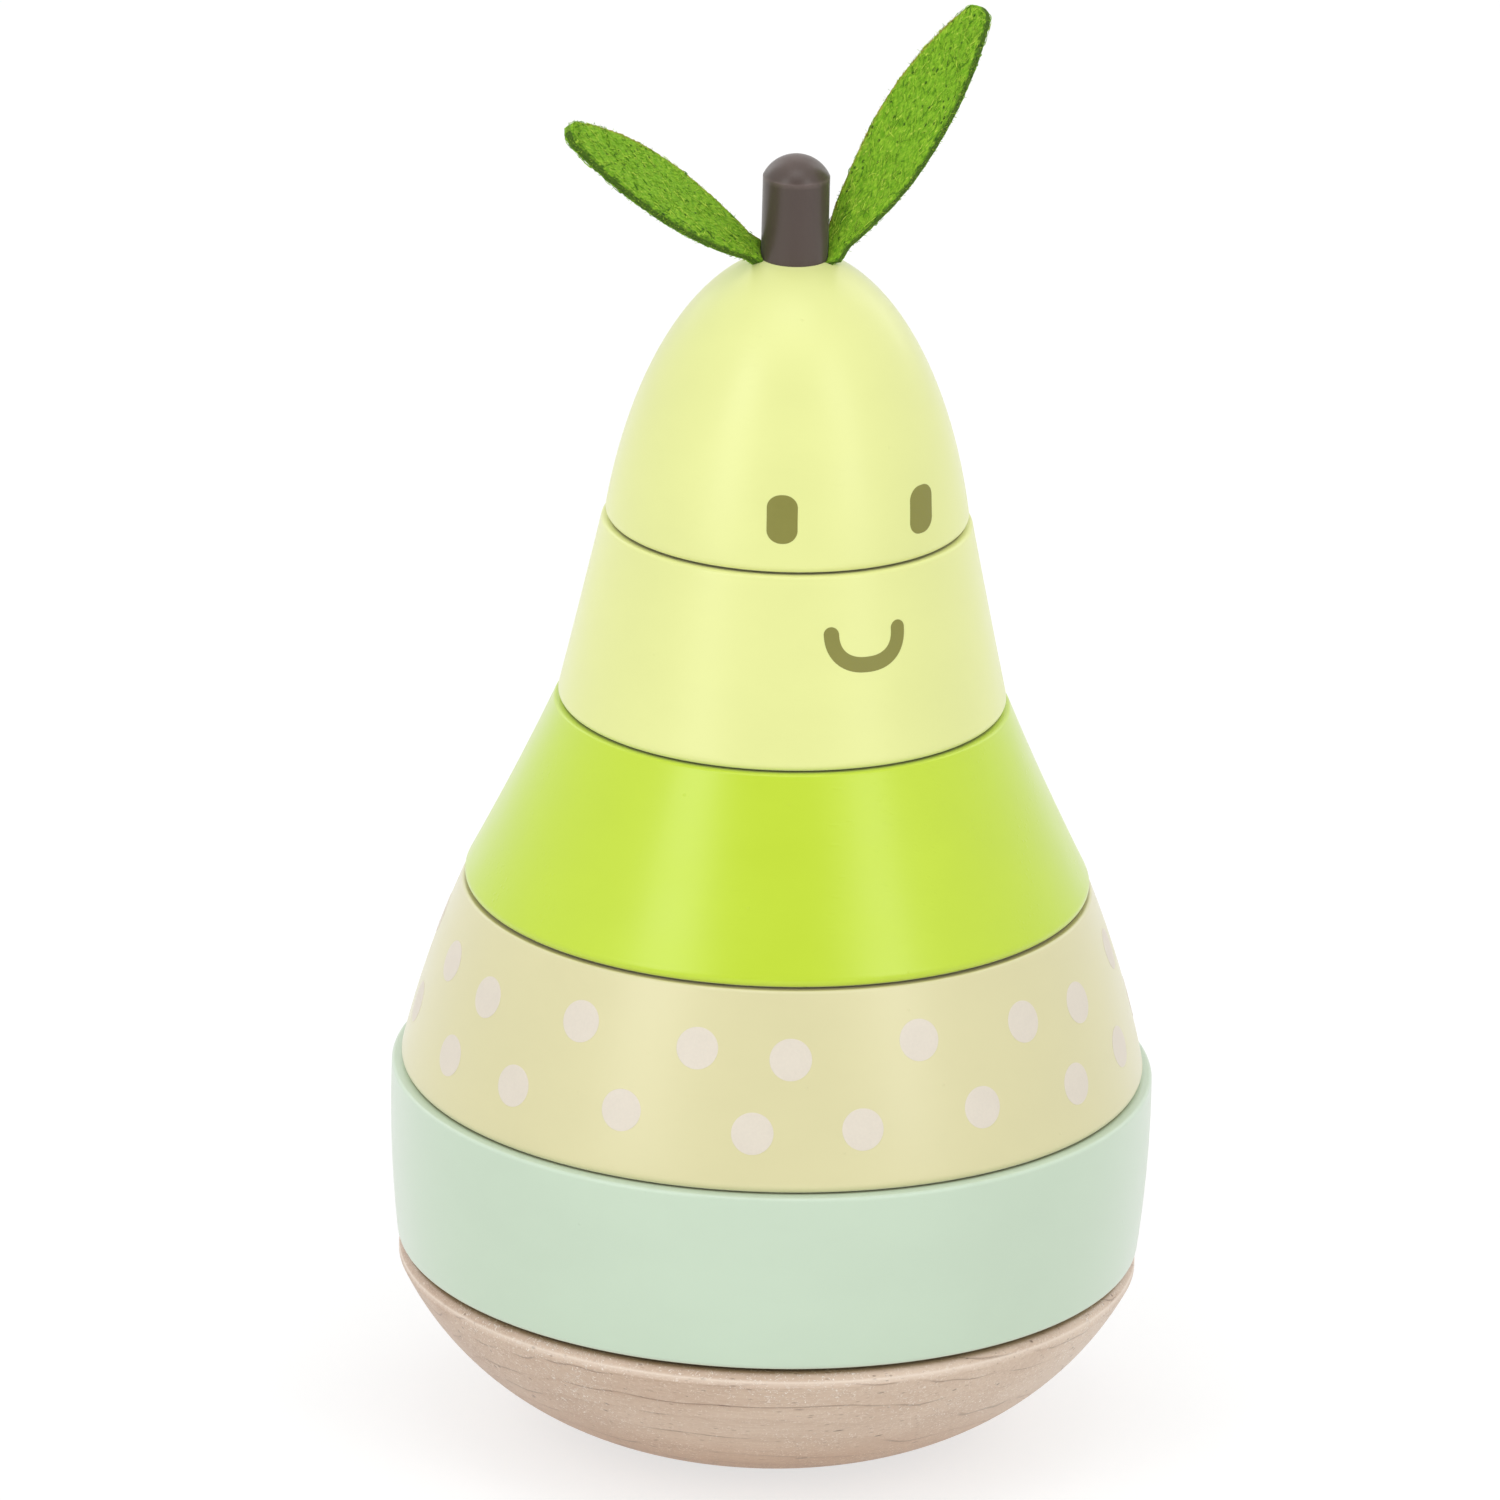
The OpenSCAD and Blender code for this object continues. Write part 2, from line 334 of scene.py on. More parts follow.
# Each paint's colour, colour along worn edges and painted lip highlights, coat, blur of the coat, raised
# grain and sheen
PAINTS = {
    "mint_paint": ((201, 220, 197), (236, 244, 230), 0.25, 0.25, 0.3, 0.4),
    "cream_paint": ((221, 215, 167), (244, 240, 214), 0.3, 0.25, 0.3, 0.4),
    "lime_paint": ((195, 221, 50), (228, 242, 140), 0.4, 0.25, 1.0, 0.4),
    "pear_paint": ((231, 236, 155), (246, 250, 200), 0.18, 0.3, 0.4, 0.4),
    "brown_paint": ((79, 66, 61), (126, 110, 106), 0.12, 0.45, 0.3, 0.12),
}
RING_PAINTS = {
    "mint_ring": "mint_paint",
    "cream_ring": "cream_paint",
    "lime_ring": "lime_paint",
    "neck_ring": "pear_paint",
}

# Painted shade in a seam: up to where it tints and from where it darkens, and by what it multiplies the
# colour
TINT_RAMP = (0.0, 0.6)
DARK_RAMP = (0.72, 0.95)
SEAM_SHADE_TINT = (0.68, 0.63, 0.46, 1.0)
SEAM_SHADE_DARK = (0.1, 0.09, 0.02, 1.0)

# Ink
DOT_INK = (225, 216, 201)
FACE_INK = (135, 133, 59)
INK_NOISES = {
    "fleck": ((2.6, 2.6, 2.6), 2.0, 0.5),
    "cloud": ((0.3, 0.3, 0.3), 2.0, 0.5),
}
INK_RAMPS = {
    "fleck": (0.3, 0.7, 0.985, 1.01),
    "cloud": (0.3, 0.7, 0.99, 1.01),
    "rough": (0.3, 0.7, 0.42, 0.55),
}
INK_BUMP = 0.006

# Wool felt, with the same columns as the wood. Its matted hairs lie at two turns in radians, each with
# its part, and noise is about its middle.
NOISE_MIDDLE = 0.5
FELT_LIES = [(0.3, 0.6), (-0.35, 0.4)]
MATTED_NOISE = ((3.4, 1.0, 7.0), 3.0, 0.6)
FELT_NOISES = {
    "cloud": ((0.35, 0.2, 3.0), 2.0, 0.5),
    "browned": ((2.0, 1.4, 5.0), 2.0, 0.5),
    "stray": ((1.8, 1.1, 5.0), 3.0, 0.5),
}
FELT_FLECK = ((2.0, 1.2, 9.0), 0.12, 0.4, 0.16)
FELT_GLINT = ((3.0, 1.2, 7.0), 0.1, 0.4, 0.26)
FELT_RAMPS = {
    "matted": (0.36, 0.66),
    "cloud": (0.35, 0.7, 0.0, 0.3),
    "pale": (0.5, 0.9, 0.0, 0.9),
    "dark": (0.45, 0.0, 0.0, 0.75),
    "browned": (0.3, 0.5),
    "cut": (0.36, 0.6),
    "cut_hairs": (0.36, 0.62, 0.95, 0.6),
    "rough": (0.3, 0.7, 0.95, 0.8),
}
FELT_COLOURS = {
    "deep": (103, 162, 22),
    "light": (158, 207, 50),
    "cloud": (124, 180, 36),
    "pale": (192, 226, 78),
    "dark": (56, 114, 14),
    "fleck": (36, 84, 10),
    "glint": (198, 224, 84),
    "browned": (176, 140, 66),
    # painted shade of the cut wall and of the margin along the edge that isn't browned
    "cut": (34, 76, 14),
    "sheen": (196, 226, 110),
}
FLECK_SHARE = 0.9
CUT_STRAY = 0.7
FELT_SHEEN = {"Specular IOR Level": 0.25, "Sheen Weight": 0.25, "Sheen Roughness": 0.45}
FLECK_RELIEF = -0.4
FELT_BUMP = 0.5

# Studio, in metres and degrees: each softbox's turn, height, distance, width, height and radiance
SOFTBOXES = {
    "left_softbox": (-43, 25, 1.3, 0.44, 1.1, 2.6),
    "right_softbox": (44, 25, 1.3, 0.38, 1.1, 2.35),
    "top_softbox": (0, 72, 1.3, 0.8, 0.5, 1.8),
    "left_back_softbox": (-140, 30, 1.4, 0.5, 1.0, 1.2),
    "right_back_softbox": (135, 30, 1.4, 0.5, 1.0, 1.2),
}

# The surroundings as light and as seen, the floor, the dark card and the camera
WORLD_LIGHT = 0.66
WORLD_SEEN = 1.0
FLOOR_SPAN = 14.0
FLOOR_LEVEL = -0.0002
FLOOR_PLAIN = 0.86
FLOOR_SHADOW = 0.37
FLOOR_GLOW = 0.68
FLAG_DISTANCE = 2.2
FLAG_HALF = 0.95
FLAG_TOP = 2.4
FLAG_GREY = 0.05
FLAG_ROUGH = 0.9
SENSOR = 36.0
LENS = 365.6
CAMERA_PLACE = (-0.004, -1.8764, 0.756)
CAMERA_TILT = 70.54
CAMERA_LEAN = 1.55
CAMERA_REACH = 100.0


def extent(node):
    """Lowest and highest corner of a solid, in millimetres."""
    low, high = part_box(node)
    return np.array(low) / MM, np.array(high) / MM


def tall(node):
    """Height of a solid, in millimetres."""
    low, high = extent(node)
    return high[2] - low[2]


def round_angles(steps):
    """Even angles once round."""
    return np.linspace(0, 2 * np.pi, steps, endpoint=False)


def unit(vectors):
    """Vectors of length one, along the last axis."""
    return vectors / np.linalg.norm(vectors, axis=-1, keepdims=True)


def eased(values, low, high):
    """Rises from 0 at low to 1 at high, level at both ends: 3t squared less 2t cubed."""
    t = np.clip((values - low) / (high - low), 0, 1)
    return t * t * (3 - 2 * t)


def tube_faces(rows, columns, loop=False):
    """Faces of a grid whose columns run round: row i joins row i + 1.

    On a loop the last row joins the first. Otherwise two pole points after the grid close the ends.
    """
    i, j = np.mgrid[0 : rows if loop else rows - 1, 0:columns]
    across = (j + 1) % columns
    above = (i + 1) % rows
    corners = [i * columns + j, i * columns + across, above * columns + across, above * columns + j]
    faces = np.stack(corners, -1).reshape(-1, 4).tolist()
    if not loop:
        here = np.arange(columns)
        after = (here + 1) % columns
        first = np.full(columns, rows * columns)
        top = (rows - 1) * columns
        faces += np.stack([first, after, here], -1).tolist()
        faces += np.stack([first + 1, top + here, top + after], -1).tolist()
    return faces


def make_piece(name, points, faces, body, material, node=None, slot=None, marks=None, crease=CREASE):
    """A mesh from points in millimetres, smooth but for its creases, with marks as point attributes."""
    mesh = bpy.data.meshes.new(name)
    mesh.from_pydata((points * MM).tolist(), [], faces)
    for mark, values in (marks or {}).items():
        kind, field = ("FLOAT", "value") if values.ndim == 1 else ("FLOAT_VECTOR", "vector")
        attribute = mesh.attributes.new(mark, kind, "POINT")
        attribute.data.foreach_set(field, values.astype(np.float32).ravel())
    mesh.polygons.foreach_set("use_smooth", np.ones(len(mesh.polygons), bool))
    mesh.set_sharp_from_angle(angle=math.radians(crease))
    mesh.materials.append(material)
    piece = bpy.data.objects.new(name, mesh)
    bpy.context.scene.collection.objects.link(piece)
    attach(piece, body)
    if node:
        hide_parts(node)
    return piece


# Turned shapes


def arc(centre, radius, start, stop, steps):
    """Points on an arc: the centre plus the radius times cosine and sine of angles from start to stop."""
    angle = np.radians(np.linspace(start, stop, steps + 1))
    return np.array(centre) + radius * np.stack([np.cos(angle), np.sin(angle)], -1)


def rounded(before, corner, after, radius, steps=ROUND_STEPS):
    """Arc that touches both lines of a corner: its two end spokes, blended by the sine rule."""
    before, corner, after = (np.array(p, float) for p in (before, corner, after))
    back, onward = unit(before - corner), unit(after - corner)
    half = math.acos(back @ onward) / 2
    centre = corner + unit(back + onward) * radius / math.sin(half)
    first = corner + back * radius / math.tan(half) - centre
    last = corner + onward * radius / math.tan(half) - centre
    turn = math.pi - 2 * half
    t = np.linspace(0, 1, steps + 1)[:, None]
    return centre + (first * np.sin((1 - t) * turn) + last * np.sin(t * turn)) / math.sin(turn)


def ring_side(node, t):
    """Radius and level up a ring's side: the line from lower to upper edge, bowed out by 4 bow t (1 - t)."""
    lower, upper, bow = RING_SIDES[node]
    low, high = extent(node)
    start = np.array([lower / 2, low[2]])
    stop = np.array([upper / 2, high[2]])
    run = unit(stop - start)
    outwards = np.array([run[1], -run[0]])
    t = np.asarray(t, float)[..., None]
    return start + t * (stop - start) + 4 * bow * t * (1 - t) * outwards


DOME_TALL = CAP_TALL + DOME_DROP
DOME_START = math.asin(DOME_DROP / DOME_TALL)
DOME_WIDE = CAP_FOOT_RADIUS / math.cos(DOME_START)


def dome_side(t):
    """Radius and level up the cap: an upright ellipse, from its cut foot at t 0 to its top at t 1."""
    angle = DOME_START + (math.pi / 2 - DOME_START) * np.asarray(t, float)
    foot = extent("cap")[0][2]
    return np.stack([DOME_WIDE * np.cos(angle), foot + DOME_TALL * np.sin(angle) - DOME_DROP], -1)


def dome_share(height):
    """How far up the cap's side, from 0 to 1, a height above its foot lies."""
    return (math.asin((height + DOME_DROP) / DOME_TALL) - DOME_START) / (math.pi / 2 - DOME_START)


def clear_of(points, end, reach):
    """The points that lie further than reach from an end."""
    return points[np.linalg.norm(points - end, axis=-1) > reach]


def foot_radius(node):
    """Radius of a ring's or the cap's lower edge."""
    return CAP_FOOT_RADIUS if node == "cap" else RING_SIDES[node][0] / 2


def seam_shade_limits(node):
    """Where the painted seam shade on a piece's top face starts and ends, and how far down its edge it goes.
    """
    return BASE_SEAM_SHADE if node == "base" else RING_SEAM_SHADE


def top_face(node, edge, level):
    """Points inwards over a flat top, from inside its edge, close together where a seam's painted shade
    lies.
    """
    start, end, _ = seam_shade_limits(node)
    radii = foot_radius(ABOVE[node]) - np.linspace(start[0], end[0], TOP_STEPS)
    radii = radii[radii < edge - POINT_GAP]
    return np.stack([radii, np.full_like(radii, level)], -1)


def ring_section(node):
    """Closed half section of a ring: chamfered bore, seat, rounded foot, bowed side, rounded upper edge.

    The seat is flat, and over its last stretch it rises to the rim by the seam's gap.
    """
    low, high = extent(node)[0][2], extent(node)[1][2]
    side = ring_side(node, np.linspace(SEAM_GAPS[node] / (high - low), 1, SIDE_STEPS + 1))
    rim = side[0]
    seat = (rim[0] - SEAT_INSET, low)
    wide = BORE_RADIUS + BORE_CHAMFER
    foot = rounded(seat, rim, side[EDGE_STEPS], FOOT_ROUND)
    top = rounded(side[-1 - EDGE_STEPS], side[-1], (wide, high), TOP_ROUND)
    middle = clear_of(side, rim, np.linalg.norm(foot[-1] - rim) + EDGE_CLEAR)
    middle = clear_of(middle, side[-1], np.linalg.norm(top[0] - side[-1]) + EDGE_CLEAR)
    bore = [(BORE_RADIUS, high - BORE_CHAMFER), (BORE_RADIUS, low + BORE_CHAMFER)]
    face = top_face(node, top[-1, 0], high)
    section = np.vstack([bore, [(wide, low), seat], foot, middle, top, face, [(wide, high)]])
    # The lower lip is paler as wear and as a painted highlight.
    lip = (foot[LIP_STEP], LIP_WEAR_AND_HIGHLIGHT, 1.0)
    return section, [lip, (top[len(top) // 2], TOP_WEAR, TOP_RUB.get(node, 0.0))]


def bell(points, centre, reach):
    """One at a centre, falling off as a bell curve of its reach."""
    return np.exp(-np.sum((points - centre) ** 2, axis=-1) / reach**2)


def top_seam_shade(node, section):
    """Painted shade under the piece above: near the top level, in a band inside that piece's foot."""
    if node not in ABOVE:
        return np.zeros(len(section))
    depth = foot_radius(ABOVE[node]) - section[:, 0]
    drop = section[:, 1] - extent(node)[1][2]
    start, end, limits = seam_shade_limits(node)
    return TOP_SEAM_SHADE * eased(depth, *start) * eased(depth, *end) * eased(drop, *limits)


def under_seam_shade(node, section):
    """Painted shade in the seam: over the band of the underside that rises to the rim, so that less light
    bounces into the gap.
    """
    if node not in SEAM_GAPS:
        return np.zeros(len(section))
    depth = foot_radius(node) - section[:, 0]
    rise = section[:, 1] - extent(node)[0][2] - SEAM_GAPS[node]
    return eased(depth, *UNDER_DEPTH) * eased(rise, *UNDER_RISE)


def turned_marks(node, section, edges, bare_radius):
    """Wear about each edge, also a painted highlight on the lips, by its reach and strength, bare wood
    inside a radius, and painted shade in the seam.
    """
    return {
        "edge": np.max([strength * bell(section, edge, reach) for edge, reach, strength in edges], axis=0),
        "bare": (section[:, 0] < bare_radius + NEAR).astype(float),
        "seam_shade": np.maximum(top_seam_shade(node, section), under_seam_shade(node, section)),
    }


def turned_piece(name, section, edges, body, material, node, slot, loop=False, bare_radius=0.0):
    """Surface of revolution: each section point (r, z) goes to (r cos a, r sin a, z) for angles a.

    A section that isn't a loop starts and ends on the axis, and its two ends become the poles.
    """
    angle = round_angles(TURN_STEPS)
    grid = section if loop else section[1:-1]
    ring = np.stack(
        [
            np.outer(grid[:, 0], np.cos(angle)),
            np.outer(grid[:, 0], np.sin(angle)),
            np.repeat(grid[:, 1:], TURN_STEPS, axis=1),
        ],
        -1,
    ).reshape(-1, 3)
    marks = turned_marks(node, grid, edges, bare_radius)
    marks = {k: np.repeat(v, TURN_STEPS) for k, v in marks.items()}
    if not loop:
        ring = np.vstack([ring, [(0, 0, section[0, 1]), (0, 0, section[-1, 1])]])
        marks = {k: np.append(v, [0, 0]) for k, v in marks.items()}
    faces = tube_faces(len(grid), TURN_STEPS, loop)
    make_piece(name, ring, faces, body, material, node, slot, marks)


def make_ring(node, material, slot):
    """One painted ring that slides on the post."""
    section, edges = ring_section(node)
    turned_piece(f"painted_{node}", section, edges, node, material, node, slot, True, BORE_RADIUS)


def make_base(material):
    """Rounded base: a flat, a bowl arc that leaves it level, a straight rim, and the post's hole."""
    radius, _, height = extent("base")[1]
    bowl = height - BASE_RIM
    run = radius - BASE_FLAT_RADIUS
    bowl_radius = (run * run + bowl * bowl) / (2 * bowl)
    sweep = 2 * math.degrees(math.atan(bowl / run))
    curve = arc((BASE_FLAT_RADIUS, bowl_radius), bowl_radius, -90, sweep - 90, SIDE_STEPS)
    rim = rounded((radius, bowl), (radius, height), (0, height), BASE_ROUND, BASE_ROUND_STEPS)
    face = top_face("base", rim[-1, 0], height)
    hole = extent("post")[1][0] + GLUE_GAP
    floor = extent("post")[0][2]
    section = np.vstack([[(0, 0)], curve, rim, face, [(hole, height), (hole, floor), (0, floor)]])
    # The rim's pale band is sanding and a painted highlight along the rounded rim.
    worn_and_lit = [(rim[BASE_LIP_STEP], LIP_WEAR_AND_HIGHLIGHT, 1.0)]
    turned_piece("turned_base", section, worn_and_lit, "base", material, "base", "bare_wood")


def make_post(material):
    """Round post with a rounded top edge."""
    low, high = extent("post")
    radius = high[0]
    top = rounded((radius, low[2]), (radius, high[2]), (0, high[2]), POST_ROUND)
    section = np.vstack([[(0, low[2]), (radius, low[2])], top, [(0, high[2])]])
    worn_and_lit = [(top[len(top) // 2], TOP_WEAR, 1.0)]
    turned_piece("turned_post", section, worn_and_lit, "base", material, "post", "bare_wood")


def make_stem(material):
    """Stem: a peg whose domed end is part of a ball and meets the side in a crease."""
    low, high = extent("stem")
    radius, top = high[0], high[2]
    ball = (radius * radius + STEM_DOME * STEM_DOME) / (2 * STEM_DOME)
    spread = math.degrees(math.asin(radius / ball))
    dome = arc((0, top - ball), ball, 90 - spread, 90, STEM_DOME_STEPS)
    levels = np.linspace(low[2], top - STEM_DOME, STEM_STEPS)
    sides = np.stack([np.full_like(levels, radius), levels], -1)
    section = np.vstack([[(0, low[2])], sides, dome[1:-1], [(0, top)]])
    # The crease is paler as wear and as a painted highlight; the dome's top as wear.
    worn_and_lit = [(sides[-1], LIP_WEAR_AND_HIGHLIGHT, 1.0), ((0, top), STEM_DOME, 1.0)]
    turned_piece("painted_stem", section, worn_and_lit, "cap", material, "stem", "brown_paint")


def make_cap(material):
    """Cap: socket, rounded foot and dome. The hole at its top is the stem's round with a slot for each tab.

    Rows run from the socket's end round the foot and up the dome to the hole, whose radius at angle a
    is the larger of the stem's and that of the slot's rectangle, min(x / cos a, y / sin a).
    """
    foot = extent("cap")[0][2]
    stem_low, stem_high = extent("stem")
    angle = round_angles(TURN_STEPS)
    stem_radius = stem_high[0] + GLUE_GAP
    slot_x = stem_high[0] + TAB_GAP + FELT + GLUE_GAP - ROOT_SHIFT
    slot_y = TAB_WIDTH / 2 + GLUE_GAP
    with np.errstate(divide="ignore"):
        slot_radius = np.minimum(slot_x / np.abs(np.cos(angle)), slot_y / np.abs(np.sin(angle)))
    hole = np.maximum(stem_radius, slot_radius)

    wide = BORE_RADIUS + BORE_CHAMFER
    rim = dome_side(dome_share(SEAM_GAPS["cap"]))
    seat = (rim[0] - SEAT_INSET, foot)
    lip = rounded(seat, rim, dome_side(dome_share(SEAM_GAPS["cap"] + 2 * FOOT_ROUND)), FOOT_ROUND)
    socket = [(BORE_RADIUS, foot + SOCKET_DEPTH), (BORE_RADIUS, foot + BORE_CHAMFER), (wide, foot), seat]
    lower = np.vstack([socket, lip])
    lower_rows = np.repeat(lower[:, None, :], TURN_STEPS, axis=1)

    start = math.asin((lip[-1, 1] + EDGE_CLEAR - foot + DOME_DROP) / DOME_TALL)
    stop = np.arccos(hole / DOME_WIDE)
    share = np.linspace(0, 1, SIDE_STEPS)[:, None]
    climb = start + (stop - start) * share
    dome_rows = np.stack([DOME_WIDE * np.cos(climb), foot + DOME_TALL * np.sin(climb) - DOME_DROP], -1)
    floor = np.full(TURN_STEPS, stem_low[2])
    well_rows = np.stack([hole, floor], -1)[None]

    rows = np.concatenate([lower_rows, dome_rows, well_rows])
    radius, level = rows[..., 0], rows[..., 1]
    points = np.stack([radius * np.cos(angle), radius * np.sin(angle), level], -1).reshape(-1, 3)
    poles = [(0, 0, foot + SOCKET_DEPTH), (0, 0, stem_low[2])]
    flat = np.stack([radius, level], -1).reshape(-1, 2)
    mouth = dome_rows[-1].mean(axis=0)
    # The foot's lip is paler as wear and as a painted highlight.
    worn_and_lit = [(lip[LIP_STEP], LIP_WEAR_AND_HIGHLIGHT, 1.0), (mouth, LIP_WEAR_AND_HIGHLIGHT, 1.0)]
    marks = turned_marks("cap", flat, worn_and_lit, BORE_RADIUS)
    in_socket = level.ravel() < foot + SOCKET_DEPTH + NEAR
    marks["bare"] = marks["bare"] * in_socket
    marks = {k: np.append(v, [1, 0] if k == "bare" else [0, 0]) for k, v in marks.items()}
    faces = tube_faces(len(rows), TURN_STEPS)
    make_piece("painted_cap", np.vstack([points, poles]), faces, "cap", material, "cap", "pear_paint", marks)


# Printed marks


def on_side(side, height_share, turn, across, up, lift, pad):
    """Points of a film on a turned side, from across and up in millimetres and a lift off the surface.

    Up moves along the side's own slope. Across is wrapped round the side, or for a pad print it is
    pressed straight on, so that the angle's sine is across over the radius.
    """
    step = 1e-4
    slope = (side(height_share + step) - side(height_share - step)) / (2 * step)
    t = height_share + up / np.linalg.norm(slope)
    place = side(t)
    run = unit(side(t + step) - side(t - step))
    radius, level = place[..., 0], place[..., 1]
    angle = math.radians(turn) + (np.arcsin(across / radius) if pad else across / radius)
    radius = radius + lift * run[..., 1]
    level = level - lift * run[..., 0]
    return np.stack([radius * np.sin(angle), -radius * np.cos(angle), level], -1)


def film_patch(outline_x, outline_y, place):
    """Closed film: the outline scaled towards its middle in rows, over the top, down the rim and under."""
    scale = np.array(FILM_SHARES)[:, None]
    lift = FILM * np.array(FILM_LIFTS)[:, None] + 0 * outline_x
    grid = place(scale * outline_x, scale * outline_y, lift).reshape(-1, 3)
    middle = place(np.zeros(2), np.zeros(2), FILM * np.array([1, -1]))
    faces = tube_faces(len(scale), len(outline_x))
    return np.vstack([grid, middle]), [face[::-1] for face in faces]


def joined(patches):
    """Several lots of points and faces as one."""
    starts = np.cumsum([0] + [len(points) for points, _ in patches])
    faces = [[k + start for k in face] for start, (_, lot) in zip(starts, patches) for face in lot]
    return np.vstack([points for points, _ in patches]), faces


def make_dots(material):
    """Round dots on the cream ring: one motif of six, repeated round the ring."""
    height = tall("cream_ring")
    theta = round_angles(DOT_POINTS)
    outline_x, outline_y = DOT_RADIUS * np.cos(theta), DOT_RADIUS * np.sin(theta)
    patches = []
    for repeat in range(DOT_REPEATS):
        for turn, up in DOT_PLACES:
            turn = turn + repeat * 360 / DOT_REPEATS

            def place(x, y, lift, turn=turn, share=up / height):
                return on_side(lambda t: ring_side("cream_ring", t), share, turn, x, y, lift, False)

            patches.append(film_patch(outline_x, outline_y, place))
    make_piece("printed_dots", *joined(patches), "cream_ring", material)


def make_eyes(material):
    """Two upright eyes, pressed on the cap: a rectangle's corner points, pushed out round a small circle.

    Their sides lean a little, against the slant that the dome gives them.
    """
    theta = round_angles(EYE_POINTS) + np.pi / EYE_POINTS
    patches = []
    for across, height, half_width, half_height in EYES:
        outline_x = (half_width - EYE_CORNER) * np.sign(np.cos(theta)) + EYE_CORNER * np.cos(theta)
        outline_y = (half_height - EYE_CORNER) * np.sign(np.sin(theta)) + EYE_CORNER * np.sin(theta)

        def place(x, y, lift, across=across, share=dome_share(height)):
            return on_side(dome_side, share, FACE_TURN, across + x + EYE_LEAN * y, y, lift, True)

        patches.append(film_patch(outline_x, outline_y, place))
    make_piece("printed_eyes", *joined(patches), "cap", material)


def make_smile(material):
    """The lower half of a fuller ellipse, |x/a|^n + |y/b|^n = 1, drawn with a round-ended stroke.

    The stroke's half width is a circle's over the last stretch at each end, so the ends are round.
    """
    height = tall("neck_ring")
    turn = np.linspace(0, np.pi, SMILE_POINTS)
    power = 2 / SMILE_FULLNESS
    curve_x = -SMILE_HALF * np.sign(np.cos(turn)) * np.abs(np.cos(turn)) ** power
    curve = np.stack([curve_x, -SMILE_DROP * np.abs(np.sin(turn)) ** power], -1)
    length = np.concatenate([[0], np.cumsum(np.linalg.norm(np.diff(curve, axis=0), axis=1))])
    ease = (1 - np.cos(np.linspace(0, np.pi, SMILE_ROWS + 2)[1:-1])) / 2
    run = -SMILE_STROKE + (length[-1] + 2 * SMILE_STROKE) * ease
    held = np.clip(run, 0, length[-1])
    path = np.stack([np.interp(held, length, curve[:, k]) for k in (0, 1)], -1)
    tangent = unit(np.stack([np.interp(held, length, np.gradient(curve[:, k])) for k in (0, 1)], -1))
    past = run - held
    path = path + past[:, None] * tangent
    half = np.sqrt(np.maximum(SMILE_STROKE**2 - past**2, 0))
    normal = np.stack([-tangent[:, 1], tangent[:, 0]], -1)
    across = np.array(STROKE_SHARES)
    lift = FILM * np.array(STROKE_LIFTS)
    flat = path[:, None, :] + (half[:, None] * across)[..., None] * normal[:, None, :]
    ends = np.array([curve[0] - SMILE_STROKE * tangent[0], curve[-1] + SMILE_STROKE * tangent[-1]])

    def place(x, y, up):
        return on_side(lambda t: ring_side("neck_ring", t), SMILE_HEIGHT / height, FACE_TURN, x, y, up, True)

    grid = place(flat[..., 0], flat[..., 1], lift + 0 * flat[..., 0]).reshape(-1, 3)
    poles = place(ends[:, 0], ends[:, 1], np.zeros(2))
    faces = tube_faces(len(path), len(across))
    make_piece("printed_smile", np.vstack([grid, poles]), faces, "neck_ring", material)


# Felt leaves


def field(along, across, cells, rng):
    """Smooth unevenness from -1 to 1: random heights on a lattice, blended between knots by eased shares."""
    lattice = rng.uniform(-1, 1, (LATTICE, LATTICE))
    u, v = along * cells, across * cells
    i, j = np.floor(u).astype(int), np.floor(v).astype(int)
    s, t = eased(u - i, 0, 1), eased(v - j, 0, 1)
    rows = (i % LATTICE, (i + 1) % LATTICE)
    left, right = j % LATTICE, (j + 1) % LATTICE
    near, far = (lattice[row, left] * (1 - t) + lattice[row, right] * t for row in rows)
    return near * (1 - s) + far * s


def leaf_half_width(along):
    """Half the cut's width at a distance from the bend: two side arcs, a round tip, and the tab's width."""
    run = LEAF_LENGTH - LEAF_TIP - LEAF_WIDEST
    radius = (LEAF_WIDTH**2 / 4 + run**2 - LEAF_TIP**2) / (LEAF_WIDTH - 2 * LEAF_TIP)
    below = radius - LEAF_WIDTH / 2
    tip_start = LEAF_WIDEST + radius * math.cos(math.atan2(below, run))
    side = np.sqrt(np.maximum(radius**2 - (along - LEAF_WIDEST) ** 2, 0)) - below
    tip = np.sqrt(np.maximum(LEAF_TIP**2 - (along - LEAF_LENGTH + LEAF_TIP) ** 2, 0))
    return np.where(along > tip_start, tip, np.maximum(side, TAB_WIDTH / 2))


